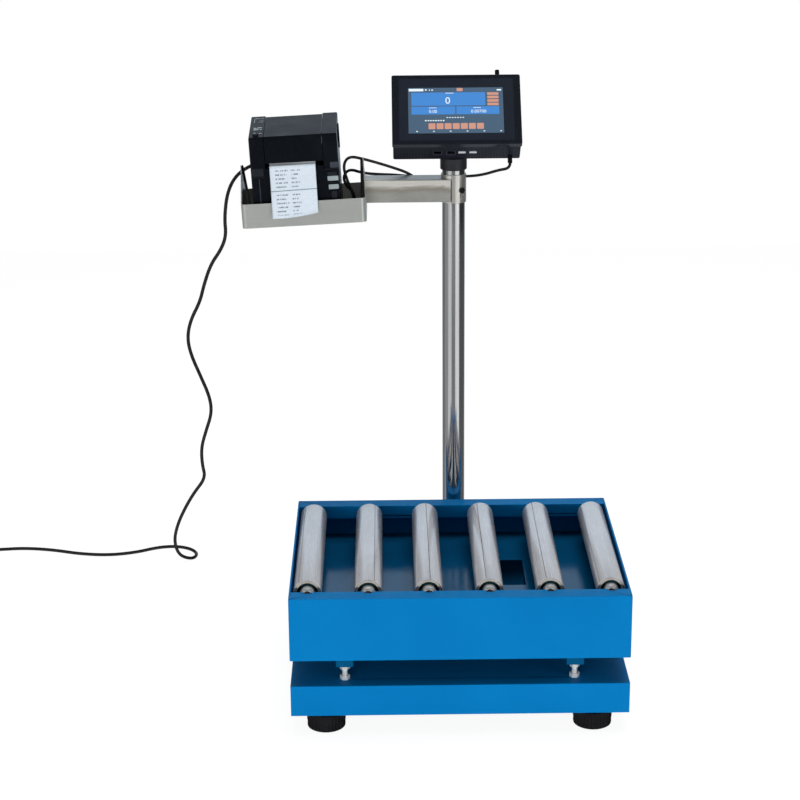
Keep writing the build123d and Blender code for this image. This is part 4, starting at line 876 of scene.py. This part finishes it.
def make_printer_trim():
    """Small features of the printer: pale pads, dark seams, lighter patches of painted sheen, light lines of
    painted highlight and reflection, and keys with painted highlights.
    """
    face, crest, slope = -50.0, 139.0, 15.5 / 106.0

    def front(across, up, level):
        return tray_place(across, face - level, up)

    def top(across, up, level):
        return tray_place(across, up, crest + (up - face) * slope + level)

    def patches(place, listed, level, corner=8.0):
        return [tile(place, (x, y), (wide, high), (0.0, level), corner) for x, y, wide, high in listed]

    pads = patches(front, [(-48.0, 69.6, 16.6, 7.2), (-47.6, 56.4, 15.4, 7.4)], 0.25, 12.0)
    mesh_object("printer_pads", pads, "frame", "pale patch")
    seams = [(-163.0, 76.8, 20.0, 1.1), (-49.0, 84.2, 20.0, 1.1), (-47.8, 63.0, 16.0, 0.8)]
    mesh_object("printer_seams", patches(front, seams, 0.25), "frame", "dark steel")
    # Lighter patches on the front faces: a painted sheen.
    sheen = [(-163.4, 84.6, 18.0, 12.0), (-49.0, 77.0, 14.0, 5.0), (-47.4, 43.0, 8.0, 12.0)]
    mesh_object("printer_sheen", patches(front, sheen, 0.15, 12.0), "frame", "dim patch")
    # Light lines along the front and along the top's groove, and a light patch on the front: painted
    # highlights and a painted reflection.
    lines = [(-161.8, 45.0, 1.3, 60.0), (-61.4, 131.0, 1.1, 12.0), (-45.0, 90.6, 12.6, 9.0)]
    grid = patches(front, lines, 0.6) + patches(top, [(-61.4, 3.0, 1.1, 92.0)], 0.35)
    mesh_object("printer_lines", grid, "frame", "grey patch")
    outline = [
        (-160.5, 41.0, 15.0, 1.0), (-167.5, 31.0, 1.0, 19.0), (-156.0, 32.0, 7.0, 1.0),
        (-157.5, 24.0, 8.0, 1.0),
    ]
    keypad = [(-166.0 + 5.0 * i, -4.0 - 8.0 * j, 3.2, 4.2) for i in range(3) for j in range(2)]
    # Pale patches on the keypad: painted highlights.
    painted_key_highlights = [
        (-164.5, -9.0, 4.0, 9.0), (-159.0, -4.0, 3.0, 6.0), (-165.0, -28.0, 4.0, 2.4),
        (-156.0, -30.0, 5.0, 2.0),
    ]
    keys = patches(top, outline, 0.3, 6.0) + patches(top, keypad + painted_key_highlights, 0.3, 3.0)
    mesh_object("printer_keys", keys, "frame", "pale patch")


def make_tray_hems():
    """Rolled hems along the sloping edges of the two gussets, thicker towards the tray's floor."""
    edge = np.array([(-55.0, 38.5), (-4.0, 84.0), (0.0, 86.6), (4.0, 84.0), (55.0, 38.5)])
    thick = np.array((3.3, 2.2, 2.0, 2.2, 3.3)) * MM
    right = tube_grid(tray_place(np.full(5, -3.4), edge[:, 0], edge[:, 1]), thick[:, None, None], 12)
    back = edge[2:]
    left = tube_grid(tray_place(np.full(3, -190.2), back[:, 0], back[:, 1]), 1.9 * MM, 12)
    mesh_object("tray_hems", [right, left], "frame", "dark steel")


def weld_bead(points, radius, name, finish_name):
    """A weld bead: a tube along the seam whose radius ripples with the torch's steps."""
    path = np.array(points, float) * MM
    steps = np.concatenate([[0], np.cumsum(np.linalg.norm(np.diff(path, axis=0), axis=1))])
    fine = np.linspace(0, steps[-1], int(steps[-1] / 0.0006) + 2)
    path = np.stack([np.interp(fine, steps, path[:, i]) for i in range(3)], axis=-1)
    ripple = 1.0 + 0.16 * np.abs(np.sin(np.arange(len(path)) * 0.9))
    grid = tube_grid(path, radius * MM, 10)
    grid = path[:, None] + (grid - path[:, None]) * ripple[:, None, None]
    mesh_object(name, [grid], "frame", finish_name, smooth_angle=80)


def make_welds():
    """The seam where the arm's box tube meets the sleeve, on the front and the top."""
    x0, x1 = COLUMN_AT
    angle = np.radians(np.linspace(-103, -166, 10))
    rim = [(x0 + 20.0 * math.cos(a), x1 + 20.0 * math.sin(a)) for a in angle]
    weld_bead([(0.2, 208.9, z) for z in (713.6, 730.0, 748.0)], 0.6, "weld_front", "dark steel")
    weld_bead([(x, y, 748.8) for x, y in rim], 0.8, "weld_top", "arm steel")


def make_camera():
    """The camera that took the picture: aimed by its yaw and pitch, then turned by its roll."""
    sin_yaw, cos_yaw = math.sin(CAMERA_YAW), math.cos(CAMERA_YAW)
    sin_pitch, cos_pitch = math.sin(CAMERA_PITCH), math.cos(CAMERA_PITCH)
    ahead = Vector((sin_yaw * cos_pitch, cos_yaw * cos_pitch, -sin_pitch))
    level = Vector((cos_yaw, -sin_yaw, 0.0))
    above = level.cross(ahead)
    c, s = math.cos(CAMERA_ROLL), math.sin(CAMERA_ROLL)
    right, up = c * level + s * above, -s * level + c * above
    data = bpy.data.cameras.new("camera")
    data.lens = CAMERA_LENS
    data.sensor_width = 36.0
    camera = placed("camera", data)
    camera.matrix_world = Matrix.Translation(CAMERA_AT) @ Matrix((right, up, -ahead)).transposed().to_4x4()
    bpy.context.scene.camera = camera


# Each lamp's name, place, what it looks at, size and share of the main lamp's power
LAMPS = [
    ("key", (-1.2, -3.3, 0.36), (0, 0, 0.36), (1.8, 0.3), 1.0),
    ("fill", (2.4, -2.5, 0.36), (0, 0, 0.36), (1.2, 0.3), 0.5),
    ("top", (0.2, 0.3, 3.0), (0, 0.1, 0.2), (1.8, 1.8), 0.78),
]


def area_light(name, at, look, size, power):
    """A rectangular lamp that mirrored rays don't see."""
    data = bpy.data.lights.new(name, "AREA")
    data.shape = "RECTANGLE"
    data.size, data.size_y = size
    data.energy = power
    light = placed(name, data)
    light.visible_glossy = False
    way = Vector(look) - Vector(at)
    light.matrix_world = Matrix.Translation(at) @ way.to_track_quat("-Z", "Y").to_matrix().to_4x4()


# Brightness that polished metal sees round it: turn in degrees from the camera to the right
REFLECTED = [
    (-180, 0.68), (-160, 0.68), (-152, 0.16), (-106, 0.16), (-101, 0.3), (-61, 0.34), (-56, 0.75),
    (-27, 0.75), (-20, 0.2), (14, 0.2), (19, 0.98), (55, 0.98), (61, 0.04), (134, 0.04), (142, 0.4),
    (158, 0.5), (164, 0.68), (180, 0.68),
]


def make_world(light):
    """White to the camera and an even soft light on the object.

    Mirrored rays see a pale sweep behind the scale, a bright screen on each side of the camera
    with darker room between and beyond, and a dark ceiling.
    """
    world = bpy.data.worlds.new("studio")
    bpy.context.scene.world = world
    world.use_nodes = True
    tree = world.node_tree
    tree.nodes.clear()
    new, link = tree.nodes.new, tree.links.new

    def maths(operation, a, b):
        node = new("ShaderNodeMath")
        node.operation = operation
        for socket, value in zip(node.inputs, (a, b)):
            if isinstance(value, bpy.types.NodeSocket):
                link(value, socket)
            else:
                socket.default_value = value
        return node.outputs[0]

    path, out = new("ShaderNodeLightPath"), new("ShaderNodeOutputWorld")
    coordinate, split = new("ShaderNodeTexCoord"), new("ShaderNodeSeparateXYZ")
    link(coordinate.outputs["Generated"], split.inputs[0])
    x, y, z = split.outputs
    turn = maths("ARCTAN2", x, maths("MULTIPLY", y, -1.0))
    share = maths("MULTIPLY_ADD", turn, 1.0 / (2 * math.pi))
    share.node.inputs[2].default_value = 0.5
    ramp = new("ShaderNodeValToRGB")
    steps = ramp.color_ramp.elements
    sweep_from, sweep_blue = 155, 0.14
    for index, (degrees, value) in enumerate(REFLECTED):
        step = steps[index] if index < 2 else steps.new(1.0)
        step.position = degrees / 360.0 + 0.5
        cool = sweep_blue if abs(degrees) > sweep_from else 0.0
        step.color = (value * (1 - cool), value, value * (1 + cool), 1.0)
    link(share, ramp.inputs[0])
    ceiling = new("ShaderNodeMapRange")
    ceiling.interpolation_type = "SMOOTHSTEP"
    for socket, value in (("From Min", 0.45), ("From Max", 0.8), ("To Min", 1.0), ("To Max", 0.06)):
        ceiling.inputs[socket].default_value = value
    link(z, ceiling.inputs["Value"])
    seen, soft, mirrored = (new("ShaderNodeBackground") for _ in range(3))
    seen.inputs["Color"].default_value = (1, 1, 1, 1)
    soft.inputs["Color"].default_value = (1, 1, 1, 1)
    soft.inputs["Strength"].default_value = light
    link(ramp.outputs[0], mirrored.inputs["Color"])
    link(ceiling.outputs[0], mirrored.inputs["Strength"])
    first, second = new("ShaderNodeMixShader"), new("ShaderNodeMixShader")
    bounced = maths("MAXIMUM", path.outputs["Is Glossy Ray"], path.outputs["Is Transmission Ray"])
    link(bounced, first.inputs[0])
    link(soft.outputs[0], first.inputs[1])
    link(mirrored.outputs[0], first.inputs[2])
    link(path.outputs["Is Camera Ray"], second.inputs[0])
    link(first.outputs[0], second.inputs[1])
    link(seen.outputs[0], second.inputs[2])
    link(second.outputs[0], out.inputs["Surface"])


def make_floor():
    """A wide pale floor: mostly its own white to the camera, so the object's shadow stays faint,
    and mostly clear to mirrored rays, so metal shows the studio's backdrop."""
    reach = 2.8
    span = np.linspace(-reach, reach, 3)
    x, y = np.meshgrid(span, span)
    grid = np.stack([x, y, np.zeros_like(x)], axis=-1)
    f = Finish("studio floor", srgb(244, 244, 244), 0.7)
    path = f.node("ShaderNodeLightPath")
    share = f.math("MULTIPLY", path.outputs["Is Camera Ray"], 0.8)
    glow = f.node("ShaderNodeEmission", None, {"Color": (1, 1, 1, 1), "Strength": 1.15})
    pale = f.node("ShaderNodeMixShader", None, {0: share, 1: f.shader.outputs[0], 2: glow.outputs[0]})
    open_way = f.node("ShaderNodeBsdfTransparent")
    mirrored = f.math("MULTIPLY", path.outputs["Is Glossy Ray"], 0.85)
    mixed = f.node("ShaderNodeMixShader", None, {0: mirrored, 1: pale.outputs[0], 2: open_way.outputs[0]})
    f.tree.links.new(mixed.outputs[0], f.tree.nodes["Material Output"].inputs["Surface"])
    floor = mesh_object("floor", [grid], None, "studio floor", around=False)


class ScaleSizes(bpy.types.PropertyGroup):
    tube_radius: bpy.props.FloatProperty(
        name="Roller radius", description="Outside radius of the roller tubes, mm",
        default=21.0, min=10, max=40)
    tube_wall: bpy.props.FloatProperty(
        name="Roller wall", description="Wall of the roller tubes, mm",
        default=1.5, min=0.8, max=4)
    foot_ridges: bpy.props.IntProperty(
        name="Foot ribs", description="Ribs round each foot's rim",
        default=32, min=12, max=90)


class StudioLight(bpy.types.PropertyGroup):
    soft: bpy.props.FloatProperty(
        name="Soft light", description="Strength of the even light from all round",
        default=0.22, min=0, max=3)
    key: bpy.props.FloatProperty(
        name="Key light", description="Power of the main lamp",
        default=64.0, min=0, max=500, unit="POWER")


class SCALE_OT_stage(bpy.types.Operator):
    """Sets the camera, the lamps, the world and the floor"""

    bl_idname = "scale.stage"
    bl_label = "Stage"

    def execute(self, context):
        light = context.scene.scale_light
        make_camera()
        make_world(light.soft)
        for name, at, look, size, share in LAMPS:
            area_light(name, at, look, size, light.key * share)
        make_floor()
        return {"FINISHED"}


class SCALE_OT_leads(bpy.types.Operator):
    """Makes the power lead with its coil, the data lead and the network lead"""

    bl_idname = "scale.leads"
    bl_label = "Leads"

    def execute(self, context):
        make_power_lead()
        make_network_lead()
        make_data_lead()
        return {"FINISHED"}


class SCALE_OT_finishes(bpy.types.Operator):
    """Gives each solid its finish and rounds its edges"""

    bl_idname = "scale.finishes"
    bl_label = "Finishes"

    def execute(self, context):
        widths = {node: width for width, nodes in ROUNDINGS.items() for node in nodes.split()}
        for name, nodes in NODE_FINISHES.items():
            for node in nodes.split():
                repaint(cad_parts[node], finish(name))
                soften(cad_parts[node], widths.get(node, 0.0))
        return {"FINISHED"}


class SCALE_OT_platform(bpy.types.Operator):
    """Makes the rollers and the levelling feet"""

    bl_idname = "scale.platform"
    bl_label = "Rollers and feet"

    def execute(self, context):
        sizes = context.scene.scale_sizes
        make_rollers(sizes.tube_radius, sizes.tube_wall)
        make_axles()
        make_feet(sizes.foot_ridges)
        return {"FINISHED"}


class SCALE_OT_indicator(bpy.types.Operator):
    """Makes the indicator's display and socket rims"""

    bl_idname = "scale.indicator"
    bl_label = "Indicator"

    def execute(self, context):
        make_display()
        make_ports()
        return {"FINISHED"}


class SCALE_OT_printer(bpy.types.Operator):
    """Makes the label strip and the printer's small moulded features"""

    bl_idname = "scale.printer"
    bl_label = "Printer"

    def execute(self, context):
        make_label()
        make_printer_trim()
        return {"FINISHED"}


class SCALE_OT_bracket(bpy.types.Operator):
    """Makes the bracket's weld beads and the tray's rolled hems"""

    bl_idname = "scale.bracket"
    bl_label = "Bracket"

    def execute(self, context):
        make_welds()
        make_tray_hems()
        return {"FINISHED"}


STEPS = [SCALE_OT_stage, SCALE_OT_leads, SCALE_OT_finishes, SCALE_OT_platform, SCALE_OT_indicator,
         SCALE_OT_printer, SCALE_OT_bracket]


class SCALE_PT_panel(bpy.types.Panel):
    """Lists the steps that dress the scale"""

    bl_label = "Roller Scale"
    bl_space_type = "VIEW_3D"
    bl_region_type = "UI"
    bl_category = "Scale"

    def draw(self, context):
        for step in STEPS:
            self.layout.operator(step.bl_idname)
        for group in (context.scene.scale_sizes, context.scene.scale_light):
            for name in group.bl_rna.properties.keys():
                if name not in ("rna_type", "name"):
                    self.layout.prop(group, name)


CLASSES = [ScaleSizes, StudioLight, *STEPS, SCALE_PT_panel]


def register():
    for made in CLASSES:
        bpy.utils.register_class(made)
    bpy.types.Scene.scale_sizes = bpy.props.PointerProperty(type=ScaleSizes)
    bpy.types.Scene.scale_light = bpy.props.PointerProperty(type=StudioLight)


def unregister():
    del bpy.types.Scene.scale_light
    del bpy.types.Scene.scale_sizes
    for made in reversed(CLASSES):
        bpy.utils.unregister_class(made)


def main():
    register()
    bpy.context.scene.view_settings.view_transform = "Standard"
    for step in STEPS:
        group, name = step.bl_idname.split(".")
        getattr(getattr(bpy.ops, group), name)()


if __name__ == "__main__":
    main()
